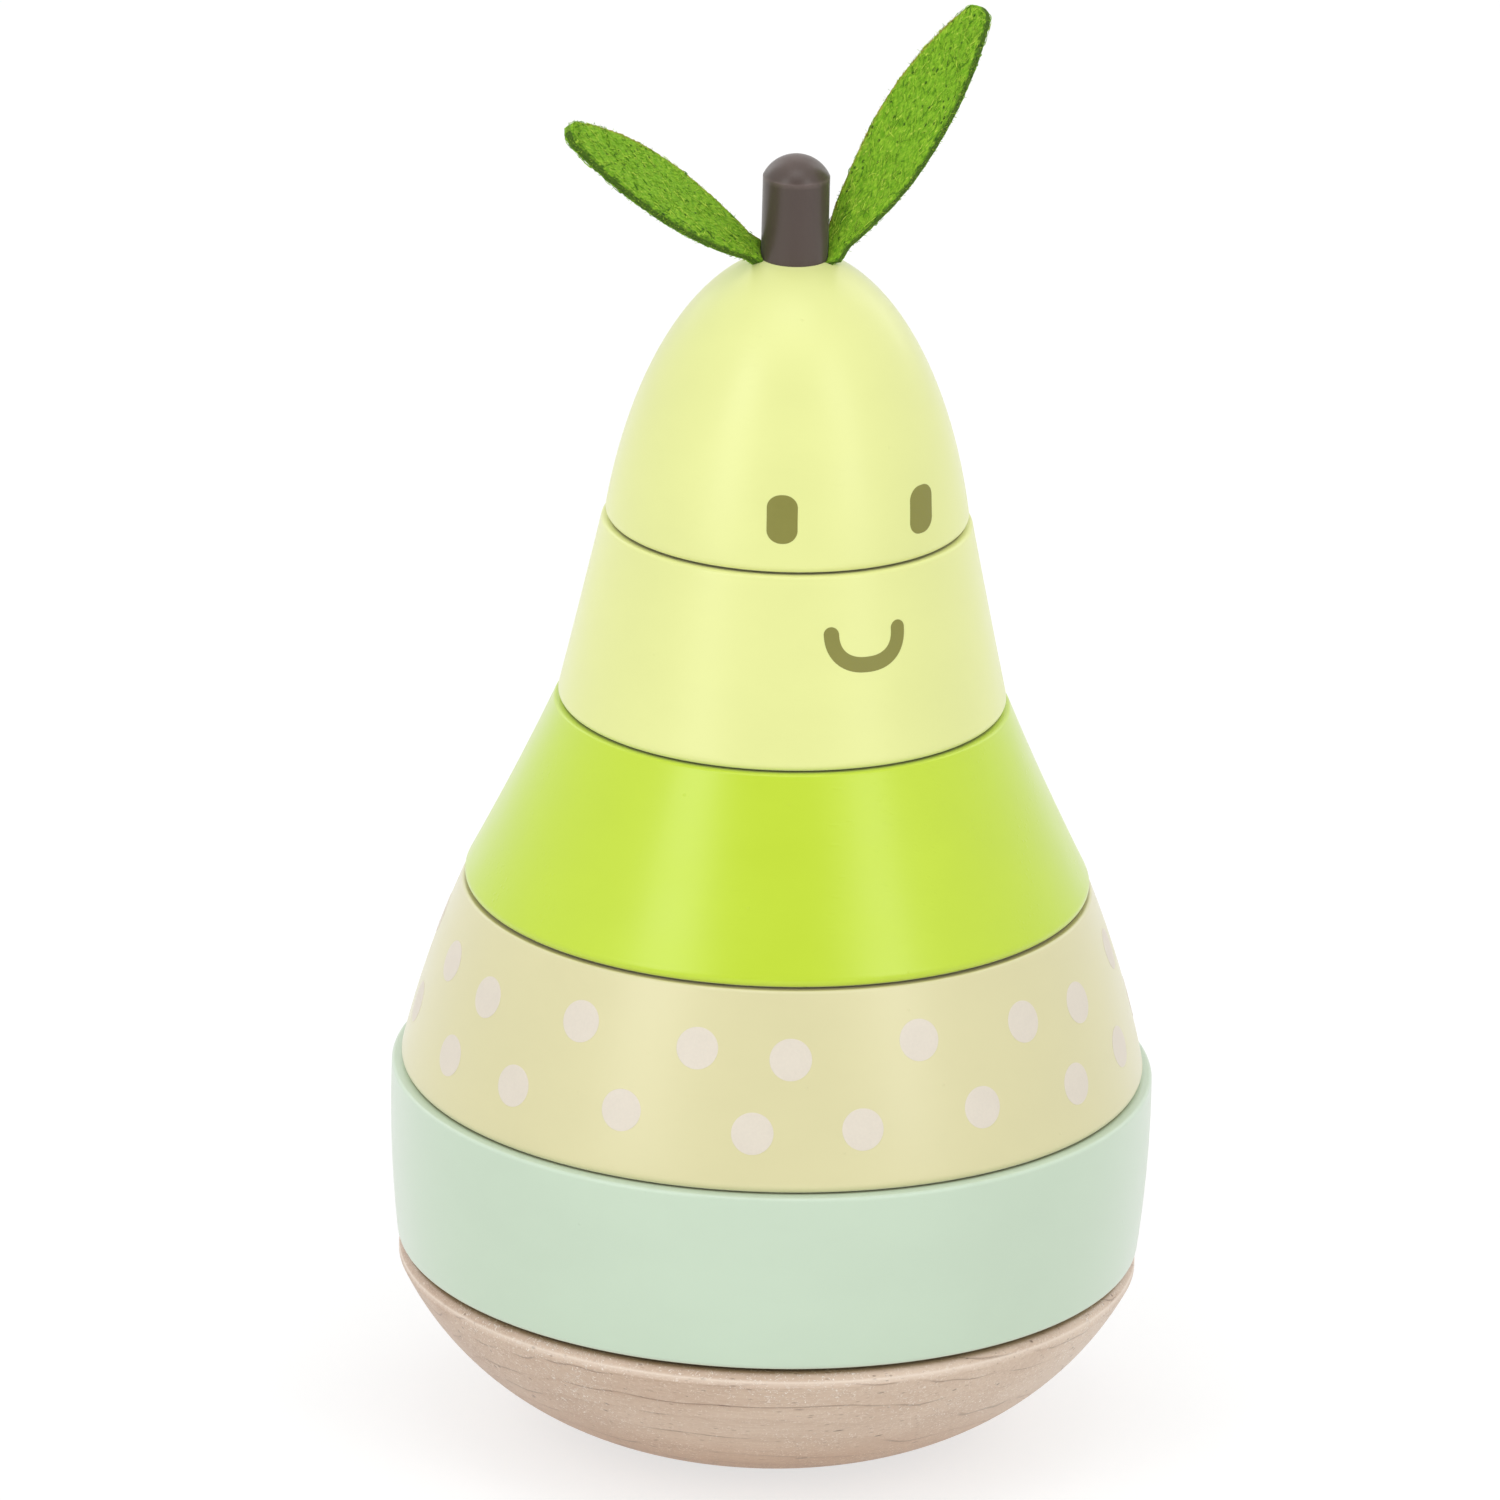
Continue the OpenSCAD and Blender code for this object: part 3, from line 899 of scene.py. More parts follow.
def leaf_frame(node, along):
    """Middle line, width direction and face direction of a leaf at distances along it from its bend.

    The line goes straight up the tab, round the bend on a three-point curve and straight along the blade.
    Near the root it is drawn down and towards the stem. The width direction turns from the tab's to the
    blade's by an even rotation over the twist.
    """
    side, turn, lift, roll = LEAVES[node]
    bend = np.array([side * (extent("stem")[1][0] + TAB_GAP + FELT / 2), 0, extent(node)[0][2] + TAB_LENGTH])
    up = np.array([0, 0, 1.0])
    blade = (
        Matrix.Rotation(math.radians(turn), 3, "Z")
        @ Matrix.Rotation(math.radians(-lift), 3, "Y")
        @ Matrix.Rotation(math.radians(roll), 3, "X")
    )
    tab = Matrix(((0, 0, -side), (0, side, 0), (1, 0, 0)))
    ahead = np.array(blade.col[0])
    t = np.clip((along + BEND_BEFORE) / (BEND_BEFORE + BEND_AFTER), 0, 1)[..., None]
    curve = bend - (1 - t) ** 2 * BEND_BEFORE * up + t**2 * BEND_AFTER * ahead
    line = curve + np.minimum(along + BEND_BEFORE, 0)[..., None] * up
    line = line + np.maximum(along - BEND_AFTER, 0)[..., None] * ahead
    rooted = 1 - eased(along, 0, ROOT_EASE)
    line = line - rooted[..., None] * np.array([side * ROOT_SHIFT, 0, ROOT_DROP])

    first, last = tab.to_quaternion(), blade.to_quaternion()
    stations = np.linspace(0, 1, TWIST_STATIONS)
    widths = np.array([first.slerp(last, s).to_matrix().col[1] for s in stations])
    share = eased(along, -BEND_BEFORE, TWIST_LENGTH)
    width = np.stack([np.interp(share, stations, widths[:, k]) for k in range(3)], -1)
    run = unit((1 - t) * BEND_BEFORE * up + t * BEND_AFTER * ahead)
    width = unit(width - np.sum(width * run, -1, keepdims=True) * run)
    return line, width, np.cross(run, width)


def beside_stem(points):
    """Felt that would lie inside the stem is pressed straight out to its skin."""
    reach = extent("stem")[1][0] + GLUE_GAP
    radius = np.hypot(points[..., 0], points[..., 1])
    press = np.maximum(reach / radius, 1)
    return points * np.stack([press, press, np.ones_like(press)], -1)


def leaf_points(node, along, across, height):
    """Points of a leaf from distances along, across and off its middle plane, the blade slightly cupped."""
    line, width, face = leaf_frame(node, along)
    droop = LEAF_DROOP * eased(along, DROOP_START, LEAF_LENGTH) * (along / LEAF_LENGTH) ** 2
    cup = LEAF_CUP * across**2 - droop
    return beside_stem(line + across[..., None] * width + (height + cup)[..., None] * face)


def make_leaf(node, material, rng):
    """Die-cut felt: across runs from edge to edge over the face, down the cut edge and back underneath.

    The half thickness keeps its full value inside and is rounded over by a quarter circle at the cut.
    """
    straight = np.linspace(-TAB_LENGTH, LEAF_LENGTH - LEAF_TIP, LEAF_ROWS)
    round_tip = LEAF_LENGTH - LEAF_TIP + LEAF_TIP * np.sin(np.linspace(0, TIP_SWEEP, TIP_ROWS)[1:])
    rows = np.concatenate([straight, round_tip])
    reach = np.sin(np.linspace(-np.pi / 2, np.pi / 2, FACE_STEPS))
    wall = np.linspace(1, -1, WALL_STEPS + 2)[1:-1]
    share = np.concatenate([reach, np.ones_like(wall), reach[::-1], -np.ones_like(wall)])
    side = np.concatenate([np.ones_like(reach), wall, -np.ones_like(reach), -wall])
    half = leaf_half_width(rows)[:, None]
    slope = np.gradient(half[:, 0], rows)[:, None]
    inside = half * (1 - np.abs(share)) / np.sqrt(1 + slope**2)
    fillet = np.sqrt(1 - (1 - np.clip(inside / FELT_ROUND, 0, 1)) ** 2)
    thick = FELT / 2 - FELT_ROUND + FELT_ROUND * fillet
    along = np.repeat(rows[:, None], len(share), axis=1)
    across = half * share
    faced = across + FACE_APART * side
    rough = sum(deep * field(along, faced, cells, rng) for deep, cells in FELT_ROUGH)
    edged = EDGE_APART * np.sign(share) + WALL_APART * side
    deep, cells = CUT_ROUGH
    ragged = deep * field(along, edged, cells, rng) * (np.abs(share) > CUT_START)
    height = side * thick + side * rough
    grid = leaf_points(node, along, across + np.sign(share) * ragged, height)
    poles = leaf_points(node, np.array([-TAB_LENGTH, LEAF_LENGTH]), np.zeros(2), np.zeros(2))
    points = np.vstack([grid.reshape(-1, 3), poles])
    lie = np.stack([across, along, side + 0 * along], -1).reshape(-1, 3)
    lie = np.vstack([lie, [(0, -TAB_LENGTH, 0), (0, LEAF_LENGTH, 0)]])
    browned = np.sign(share) == LEAVES[node][0]
    margin = np.exp(-((inside / np.where(browned, BROWN_EDGE, SHADED_EDGE)) ** 2))
    # Painted shade on the cut wall and along the edge that isn't browned.
    cut = (CUT_MARGIN * margin * ~browned + CUT_WALL * (1 - np.abs(side))).ravel()
    fringe = (margin * browned * (1 - eased(along, *BROWN_FADE))).ravel()
    marks = {
        "lie": lie,
        "cut": np.append(cut, [1, 1]),
        "fringe": np.append(fringe, [0, 0]),
        "shade": np.full(len(points), MID_SHADE),
    }
    faces = tube_faces(len(rows), len(share))
    leaf = make_piece(f"felt_{node}", points, faces, "cap", material, node, "green_felt", marks, NO_CREASE)
    fibres = make_fibres(node, material, rng)


def make_fibres(node, material, rng):
    """Loose wool: short three-sided hairs that taper to both ends, matted on the faces, fraying at the cut.

    A hair starts at a place on the leaf and runs on at an angle to its length, with a slow sideways curl.
    """
    at_cut = np.arange(HAIRS) % CUT_EVERY == 0
    along = rng.uniform(HAIR_START, LEAF_LENGTH - TIP_CLEAR, HAIRS)
    half = leaf_half_width(along)
    edge_side = rng.choice([-1, 1], HAIRS)
    across = np.where(at_cut, edge_side * half, half * rng.uniform(-FACE_SPREAD, FACE_SPREAD, HAIRS))
    face = rng.choice([-1, 1], HAIRS)
    length = np.where(at_cut, rng.uniform(*CUT_LENGTHS, HAIRS), rng.uniform(*FACE_LENGTHS, HAIRS))
    cut_angle = edge_side * rng.uniform(*CUT_ANGLES, HAIRS)
    angle = np.where(at_cut, cut_angle, rng.normal(FACE_ANGLE, ANGLE_SPREAD, HAIRS))
    curl = rng.normal(0, CURL_SPREAD, HAIRS)
    thick = np.where(at_cut, CUT_GIRTH, FACE_GIRTH + GIRTH_RANGE * rng.uniform(0, 1, HAIRS) ** 3)
    in_cut = FELT * rng.uniform(-CUT_BAND, CUT_BAND, HAIRS)
    on_face = face * (FELT / 2 + rng.uniform(*FACE_OFF, HAIRS))
    off = np.where(at_cut, in_cut, on_face)
    rise = np.where(at_cut, rng.normal(0, CUT_RISE, HAIRS), 0)

    s = np.linspace(0, 1, HAIR_POINTS)
    heading = angle[:, None] + curl[:, None] * s
    step = length[:, None] / (HAIR_POINTS - 1)
    path_along = along[:, None] + np.cumsum(np.cos(heading) * step, 1)
    path_across = across[:, None] + np.cumsum(np.sin(heading) * step, 1)
    limit = leaf_half_width(np.clip(path_along, 0, LEAF_LENGTH - TIP_POINT)) * FACE_LIMIT
    free = at_cut[:, None]
    path_across = np.where(free, path_across, np.clip(path_across, -limit, limit))
    path_along = np.where(free, path_along, np.minimum(path_along, LEAF_LENGTH - TIP_CLEAR))
    bowed = face[:, None] * FACE_RISE * np.sin(np.pi * s)
    height = off[:, None] + rise[:, None] * s + np.where(free, 0, bowed)

    line = leaf_points(node, path_along, path_across, height)
    run = unit(np.gradient(line, axis=1))
    sideways = unit(np.cross(run, HAIR_ASIDE))
    upward = np.cross(run, sideways)
    inner = slice(1, -1)
    turn = np.radians(HAIR_SPOKES)
    girth = (thick[:, None] * np.sqrt(1 - (2 * s - 1) ** 2 * GIRTH_TAPER))[:, inner, None, None]
    spokes = np.cos(turn)[:, None] * sideways[:, inner, None, :]
    spokes = spokes + np.sin(turn)[:, None] * upward[:, inner, None, :]
    rings = line[:, inner, None, :] + girth * spokes
    hairs = np.concatenate([rings.reshape(HAIRS, -1, 3), line[:, [0, -1]]], axis=1)
    one = tube_faces(HAIR_POINTS - 2, len(turn))
    size = hairs.shape[1]
    faces = [[k + size * n for k in corners] for n in range(HAIRS) for corners in one]
    shade = np.repeat(rng.uniform(0, 1, HAIRS), size)
    lie = np.stack([np.repeat(across, size), np.repeat(along, size), np.repeat(face, size)], -1)
    # Hairs at the cut take part of its painted shade.
    marks = {"lie": lie, "shade": shade, "cut": np.repeat(HAIR_SHADE * at_cut, size)}
    points = hairs.reshape(-1, 3)
    return make_piece(f"wool_{node}", points, faces, "cap", material, None, "green_felt", marks, NO_CREASE)


# Materials


class Nodes:
    """Writes a node tree from its inputs to its output, one call a node."""

    def __init__(self, tree):
        self.tree = tree

    def feed(self, socket, value):
        """Links a socket to another one, or sets it."""
        if isinstance(value, bpy.types.NodeSocket):
            self.tree.links.new(value, socket)
        else:
            socket.default_value = value

    def feed_all(self, node, inputs):
        """Feeds a node's inputs by name or number."""
        for key, value in inputs.items():
            self.feed(node.inputs[key], value)

    def add(self, kind, inputs=None, **settings):
        """A node with its settings, and its inputs fed by name or number."""
        node = self.tree.nodes.new("ShaderNode" + kind)
        for name, value in settings.items():
            setattr(node, name, value)
        self.feed_all(node, inputs or {})
        return node

    def math(self, operation, *values):
        """Arithmetic on numbers."""
        return self.add("Math", dict(enumerate(values)), operation=operation).outputs[0]

    def stretch(self, vector, *factors):
        """A vector with each part times its factor."""
        return self.add("VectorMath", {0: vector, 1: factors}, operation="MULTIPLY").outputs[0]

    def noise(self, vector, cells, detail, roughness):
        """Smooth noise about 0.5, with so many cells to a unit along each axis."""
        vector = self.stretch(vector, *cells)
        inputs = {"Vector": vector, "Scale": 1.0, "Detail": detail, "Roughness": roughness}
        return self.add("TexNoise", inputs).outputs["Fac"]

    def dashes(self, vector, cells, full, gone, share):
        """Soft spots, one in the middle of a share of all cells: whole out to full, nought from gone on."""
        vector = self.stretch(vector, *cells)
        node = self.add("TexVoronoi", {"Vector": vector, "Scale": 1.0, "Randomness": 1.0})
        chance = self.add("SeparateColor", {0: node.outputs["Color"]}).outputs[0]
        kept = self.ramp(chance, share, share + DASH_DOUBT, 1.0, 0.0)
        return self.math("MULTIPLY", self.ramp(node.outputs["Distance"], full, gone, 1.0, 0.0), kept)

    def parts(self, vector, noises, dashes):
        """The noises and dashes of two tables, by name."""
        part = {name: self.noise(vector, *how) for name, how in noises.items()}
        part.update({name: self.dashes(vector, *how) for name, how in dashes.items()})
        return part

    def band(self, value, rise, full, hold, gone):
        """One from full to hold, nought before rise and after gone."""
        return self.math("MULTIPLY", self.ramp(value, rise, full), self.ramp(value, hold, gone, 1.0, 0.0))

    def weighed(self, part, weights):
        """The sum of some parts, each times its weight."""
        total = 0.0
        for name, weight in weights.items():
            total = self.math("MULTIPLY_ADD", part[name], weight, total)
        return total

    def ramp(self, value, low, high, start=0.0, stop=1.0):
        """Goes from start at low to stop at high, eased at both ends."""
        inputs = {0: value, 1: low, 2: high, 3: start, 4: stop}
        return self.add("MapRange", inputs, interpolation_type="SMOOTHSTEP").outputs[0]

    def mix(self, share, first, second, blend="MIX"):
        """A share of the second colour over the first."""
        node = self.add("Mix", {0: share, 6: first, 7: second}, data_type="RGBA", blend_type=blend)
        return node.outputs[2]

    def blend(self, share, first, second):
        """A share of the second number over the first."""
        return self.add("Mix", {0: share, 2: first, 3: second}, data_type="FLOAT").outputs[0]


def srgb(red, green, blue):
    """A colour written as it shows on a screen, 0 to 255, as the linear colour that shaders take.

    It follows the screen's standard curve, straight near black and then a power of 2.4.
    """
    c = np.array([red, green, blue]) / 255
    linear = np.where(c <= 0.04045, c / 12.92, ((c + 0.055) / 1.055) ** 2.4)
    return (*linear.tolist(), 1.0)


def new_group(name, inputs, outputs):
    """An empty shader node group with its sockets, and its inside ends."""
    tree = bpy.data.node_groups.new(name, "ShaderNodeTree")
    for way, sockets in (("INPUT", inputs), ("OUTPUT", outputs)):
        for label, kind in sockets.items():
            tree.interface.new_socket(label, in_out=way, socket_type="NodeSocket" + kind)
    nodes = Nodes(tree)
    return nodes, tree.nodes.new("NodeGroupInput").outputs, tree.nodes.new("NodeGroupOutput").inputs


def wood_group():
    """Bare beech: fibres along X, growth lines about a far heart, pale flecks, dark pores, a few streaks.

    The flecks are shaken off their cells and are partly painted glints of the wax. The wood is deeper at the
    left, and darker and warmer low down as painted shade.
    """
    nodes, given, result = new_group(
        "bare_beech",
        {"Vector": "Vector", "Pale": "Color", "Deep": "Color"},
        {"Color": "Color", "Roughness": "Float", "Height": "Float"},
    )
    place = given["Vector"]
    level = nodes.add("SeparateXYZ", {0: place}).outputs
    part = nodes.parts(place, WOOD_NOISES, WOOD_DASHES)
    shake = nodes.add("TexNoise", {"Vector": place, "Scale": SHAKE_CELLS, "Detail": 1.0}).outputs["Color"]
    shift = {0: shake, 1: SHAKE_REACH, 2: place}
    shaken = nodes.add("VectorMath", shift, operation="MULTIPLY_ADD").outputs[0]
    fleck = nodes.math("MAXIMUM", *(nodes.dashes(shaken, *how) for how in SHAKEN_DASHES))
    part["fleck"] = nodes.math("MULTIPLY", fleck, nodes.ramp(part["thick"], *WOOD_RAMPS["thick"]))

    heart = nodes.add("VectorMath", {0: place, 1: HEART}, operation="SUBTRACT").outputs[0]
    radial = nodes.add("VectorMath", {0: nodes.stretch(heart, 0.0, 1.0, 1.0)}, operation="LENGTH").outputs[1]
    wander = nodes.math("MULTIPLY", part["wander"], WANDER)
    year = nodes.math("FRACT", nodes.math("MULTIPLY_ADD", radial, YEARS, wander))
    broken = nodes.ramp(part["broken"], *WOOD_RAMPS["broken"])
    part["line"] = nodes.math("MULTIPLY", nodes.band(year, *YEAR_LINE), broken)

    depth = nodes.ramp(part["fibre"], *WOOD_RAMPS["fibre"])
    depth = nodes.math("ADD", nodes.ramp(part["broad"], *WOOD_RAMPS["broad"]), depth)
    depth = nodes.math("MULTIPLY_ADD", nodes.band(year, *LATE_WOOD), LATE_DEPTH, depth)
    depth = nodes.math("ADD", depth, nodes.ramp(level["X"], *WOOD_RAMPS["across"]))
    colour = nodes.mix(nodes.math("MULTIPLY", depth, DEEP_SHARE), given["Pale"], given["Deep"])
    # The pale fleck among these is partly a painted glint of the wax.
    for name, (strength, stain) in WOOD_STAINS_AND_GLINTS.items():
        colour = nodes.mix(nodes.math("MULTIPLY", part[name], strength), colour, srgb(*stain))
    # Painted shade: darker and warmer low down.
    colour = nodes.mix(nodes.ramp(level["Z"], *WOOD_RAMPS["low"]), colour, LOW_SHADE_TINT, "MULTIPLY")
    nodes.feed(result["Color"], colour)
    nodes.feed(result["Roughness"], nodes.math("MULTIPLY_ADD", part["fleck"], FLECK_SMOOTH, WOOD_ROUGH))
    nodes.feed(result["Height"], nodes.weighed(part, WOOD_RELIEF))
    return nodes.tree


def lacquer_group():
    """Satin paint film on wood, faintly mottled, thinner and paler along the edges, which on the lips is
    also a painted highlight.

    Its relief is the grain that shows through in patches, orange peel and rare nibs.
    """
    nodes, given, result = new_group(
        "satin_lacquer",
        {"Vector": "Vector", "Paint": "Color", "WornAndLit": "Color", "Edge": "Float", "Grain": "Float"},
        {"Color": "Color", "Roughness": "Float", "Height": "Float"},
    )
    part = nodes.parts(given["Vector"], LACQUER_NOISES, LACQUER_DASHES)
    worn_and_lit = nodes.math("MULTIPLY", given["Edge"], nodes.ramp(part["rub"], *LACQUER_RAMPS["rub"]))
    tone = nodes.ramp(part["mottle"], *LACQUER_RAMPS["tone"])
    shaded = nodes.add("VectorMath", {0: given["Paint"], "Scale": tone}, operation="SCALE").outputs[0]
    nodes.feed(result["Color"], nodes.mix(nodes.math("MULTIPLY", worn_and_lit, WORN_AND_LIT_SHARE), shaded, given["WornAndLit"]))
    rough = nodes.ramp(part["mottle"], *LACQUER_RAMPS["rough"])
    nodes.feed(result["Roughness"], nodes.math("MULTIPLY_ADD", worn_and_lit, WORN_ROUGH, rough))
    raised = nodes.weighed(part, GRAIN_RELIEF)
    raised = nodes.math("MULTIPLY", raised, nodes.ramp(part["patch"], *LACQUER_RAMPS["patch"]))
    raised = nodes.math("MULTIPLY", raised, given["Grain"])
    nodes.feed(result["Height"], nodes.math("ADD", raised, nodes.weighed(part, FILM_RELIEF)))
    return nodes.tree


def seam_shade_group():
    """Painted shade in a seam: a warm tint where it is thin, near black where it is thick."""
    nodes, given, result = new_group("painted_seam_shade", {"Color": "Color", "SeamShade": "Float"}, {"Color": "Color"})
    tinted = nodes.mix(nodes.ramp(given["SeamShade"], *TINT_RAMP), given["Color"], SEAM_SHADE_TINT, "MULTIPLY")
    dark = nodes.mix(nodes.ramp(given["SeamShade"], *DARK_RAMP), tinted, SEAM_SHADE_DARK, "MULTIPLY")
    nodes.feed(result["Color"], dark)
    return nodes.tree


def new_material(name):
    """An empty material, its nodes and its Principled shader."""
    material = bpy.data.materials.new(name)
    material.use_nodes = True
    nodes = Nodes(material.node_tree)
    shader = material.node_tree.nodes["Principled BSDF"]
    return material, nodes, shader


def object_place(nodes):
    """The Object coordinates, in millimetres."""
    return nodes.stretch(nodes.add("TexCoord").outputs["Object"], 1 / MM, 1 / MM, 1 / MM)


def mark(nodes, name):
    """A piece's own point attribute, as a number."""
    return nodes.add("Attribute", None, attribute_name=name).outputs["Fac"]


def placed(nodes, tree, inputs):
    """A group placed in a material, with its inputs fed by name."""
    node = nodes.tree.nodes.new("ShaderNodeGroup")
    node.node_tree = tree
    nodes.feed_all(node, inputs)
    return node.outputs


def bump(nodes, shader, height, depth):
    """Relief of a real depth in millimetres on the shader's normal."""
    node = nodes.add("Bump", {"Height": height, "Distance": depth * MM, "Strength": 1.0})
    nodes.feed(shader.inputs["Normal"], node.outputs[0])


def beech(nodes, effects, place):
    """The bare wood of every turned piece."""
    wood = {"Vector": place, "Pale": srgb(*WOOD_PALE), "Deep": srgb(*WOOD_DEEP)}
    return placed(nodes, effects["wood"], wood)


def seam_shaded(nodes, effects, clean):
    """A colour with the painted shade of its seam."""
    return placed(nodes, effects["seam_shade"], {"Color": clean, "SeamShade": mark(nodes, "seam_shade")})["Color"]


def bare_wood(effects):
    """Sanded beech with a trace of wax, paler along its rounded edges, which on the base's rim is also a
    painted highlight.
    """
    material, nodes, shader = new_material("bare_wood")
    grain = beech(nodes, effects, object_place(nodes))
    # Paler along edges: sanding, and on the base's rim a painted highlight.
    rubbed_and_lit = nodes.math("MULTIPLY", mark(nodes, "edge"), SANDED_AND_LIT_SHARE)
    sanded_and_lit = nodes.mix(rubbed_and_lit, grain["Color"], srgb(*WOOD_SANDED_AND_LIT))
    nodes.feed_all(shader, {"Base Color": seam_shaded(nodes, effects, sanded_and_lit), "Roughness": grain["Roughness"]})
    nodes.feed_all(shader, WAX)
    bump(nodes, shader, grain["Height"], WOOD_BUMP)
    return material


def painted_wood(name, effects, paint, worn_and_lit, gloss, blur, raised, sheen):
    """Satin paint outside, with bare wood where the bore was left unpainted behind a ragged line."""
    material, nodes, shader = new_material(name)
    place = object_place(nodes)
    coat = {"Vector": place, "Paint": srgb(*paint), "WornAndLit": srgb(*worn_and_lit)}
    coat.update({"Edge": mark(nodes, "edge"), "Grain": raised})
    film = placed(nodes, effects["lacquer"], coat)
    grain = beech(nodes, effects, place)
    stray = nodes.noise(place, *STRAY_NOISE)
    ragged = nodes.ramp(nodes.math("MULTIPLY_ADD", stray, STRAY_SHARE, mark(nodes, "bare")), *STRAY_RAMP)
    clean = nodes.mix(ragged, film["Color"], grain["Color"])
    nodes.feed(shader.inputs["Base Color"], seam_shaded(nodes, effects, clean))
    nodes.feed(shader.inputs["Roughness"], nodes.blend(ragged, film["Roughness"], grain["Roughness"]))
    nodes.feed_all(shader, PAINT_FILM)
    nodes.feed_all(shader, {"Coat Weight": gloss, "Coat Roughness": blur, "Sheen Weight": sheen})
    bump(nodes, shader, nodes.blend(ragged, film["Height"], grain["Height"]), PAINT_BUMP)
    return material


def printed_ink(name, ink):
    """Matt ink: even, with a fine grain of the screen it was printed through."""
    material, nodes, shader = new_material(name)
    part = nodes.parts(object_place(nodes), INK_NOISES, {})
    tones = [nodes.ramp(part[kind], *INK_RAMPS[kind]) for kind in INK_NOISES]
    tone = nodes.math("MULTIPLY", *tones)
    shaded = nodes.add("VectorMath", {0: srgb(*ink)[:3], "Scale": tone}, operation="SCALE").outputs[0]
    nodes.feed(shader.inputs["Base Color"], shaded)
    nodes.feed(shader.inputs["Roughness"], nodes.ramp(part["fleck"], *INK_RAMPS["rough"]))
    bump(nodes, shader, part["fleck"], INK_BUMP)
    return material


def green_felt():
    """Pressed wool: pale and dark hairs along the leaf in two crossing lies, with flecks.

    The cut wall and the margin of the other edge are darkened as painted shade, and one edge has a thin
    fringe of sun-browned ends.
    """
    material, nodes, shader = new_material("green_felt")
    lie = nodes.add("Attribute", None, attribute_name="lie").outputs["Vector"]
    matted = 0.0
    for turn, weight in FELT_LIES:
        turned = nodes.add("VectorRotate", {"Vector": lie, "Angle": turn}, rotation_type="Z_AXIS").outputs[0]
        matted = nodes.math("MULTIPLY_ADD", nodes.noise(turned, *MATTED_NOISE), weight, matted)
    part = nodes.parts(lie, FELT_NOISES, {"fleck": FELT_FLECK})
    glint = nodes.dashes(turned, *FELT_GLINT)
    stray = nodes.math("SUBTRACT", part["stray"], NOISE_MIDDLE)
    cut = nodes.math("MULTIPLY_ADD", stray, CUT_STRAY, mark(nodes, "cut"))
    shade = mark(nodes, "shade")
    browned = nodes.ramp(part["browned"], *FELT_RAMPS["browned"])
    cut_hairs = nodes.ramp(matted, *FELT_RAMPS["cut_hairs"])
    layers = {
        "light": nodes.ramp(matted, *FELT_RAMPS["matted"]),
        "cloud": nodes.ramp(part["cloud"], *FELT_RAMPS["cloud"]),
        "pale": nodes.ramp(shade, *FELT_RAMPS["pale"]),
        "dark": nodes.ramp(shade, *FELT_RAMPS["dark"]),
        "fleck": nodes.math("MULTIPLY", part["fleck"], FLECK_SHARE),
        "glint": nodes.math("MULTIPLY", glint, FLECK_SHARE),
        "browned": nodes.math("MULTIPLY", mark(nodes, "fringe"), browned),
        # Painted shade of the cut, over its wall, the margin and its hairs.
        "cut": nodes.math("MULTIPLY", nodes.ramp(cut, *FELT_RAMPS["cut"]), cut_hairs),
    }
    colour = srgb(*FELT_COLOURS["deep"])
    for name, share in layers.items():
        colour = nodes.mix(share, colour, srgb(*FELT_COLOURS[name]))
    nodes.feed_all(shader, {"Base Color": colour, "Roughness": nodes.ramp(matted, *FELT_RAMPS["rough"])})
    nodes.feed_all(shader, FELT_SHEEN)
    nodes.feed(shader.inputs["Sheen Tint"], srgb(*FELT_COLOURS["sheen"]))
    bump(nodes, shader, nodes.math("MULTIPLY_ADD", part["fleck"], FLECK_RELIEF, matted), FELT_BUMP)
    return material


# Studio


def grey(value):
    """A colour without hue, from black at nought to white at one."""
    return (value, value, value, 1.0)


def seen_ray(nodes):
    """One for what the camera sees, straight or in gloss or glass, and nought for light that fills."""
    path = nodes.add("LightPath").outputs
    seen = nodes.math("MAXIMUM", path["Is Camera Ray"], path["Is Glossy Ray"])
    return nodes.math("MAXIMUM", seen, path["Is Transmission Ray"])


def make_world():
    """Even white surroundings: white where they are seen, a little lower as light."""
    world = bpy.data.worlds.new("studio")
    bpy.context.scene.world = world
    world.use_nodes = True
    nodes = Nodes(world.node_tree)
    background = world.node_tree.nodes["Background"]
    background.inputs["Color"].default_value = grey(1.0)
    nodes.feed(background.inputs["Strength"], nodes.blend(seen_ray(nodes), WORLD_LIGHT, WORLD_SEEN))


def stage_card(name, corners, material):
    """A flat card of the studio, from its four corners in metres."""
    mesh = bpy.data.meshes.new(name)
    mesh.from_pydata(corners, [], [(0, 1, 2, 3)])
    mesh.materials.append(material)
    card = bpy.data.objects.new(name, mesh)
    bpy.context.scene.collection.objects.link(card)
    return card


def make_floor():
    """Pale floor: white where it lies open, with the soft shadow of the toy."""
    material, nodes, shader = new_material("pale_floor")
    nodes.tree.nodes.remove(shader)
    plain = nodes.add("BsdfDiffuse", {"Color": grey(FLOOR_PLAIN)})
    shadow = nodes.add("BsdfDiffuse", {"Color": grey(FLOOR_SHADOW)})
    glow = nodes.add("Emission", {"Color": grey(1.0), "Strength": FLOOR_GLOW})
    white = nodes.add("AddShader", {0: shadow.outputs[0], 1: glow.outputs[0]})
    shown = nodes.add("MixShader", {0: seen_ray(nodes), 1: plain.outputs[0], 2: white.outputs[0]})
    nodes.feed(nodes.tree.nodes["Material Output"].inputs["Surface"], shown.outputs[0])
    signs = [(-1, -1), (1, -1), (1, 1), (-1, 1)]
    corners = [(x * FLOOR_SPAN, y * FLOOR_SPAN, FLOOR_LEVEL) for x, y in signs]
    stage_card("floor", corners, material)


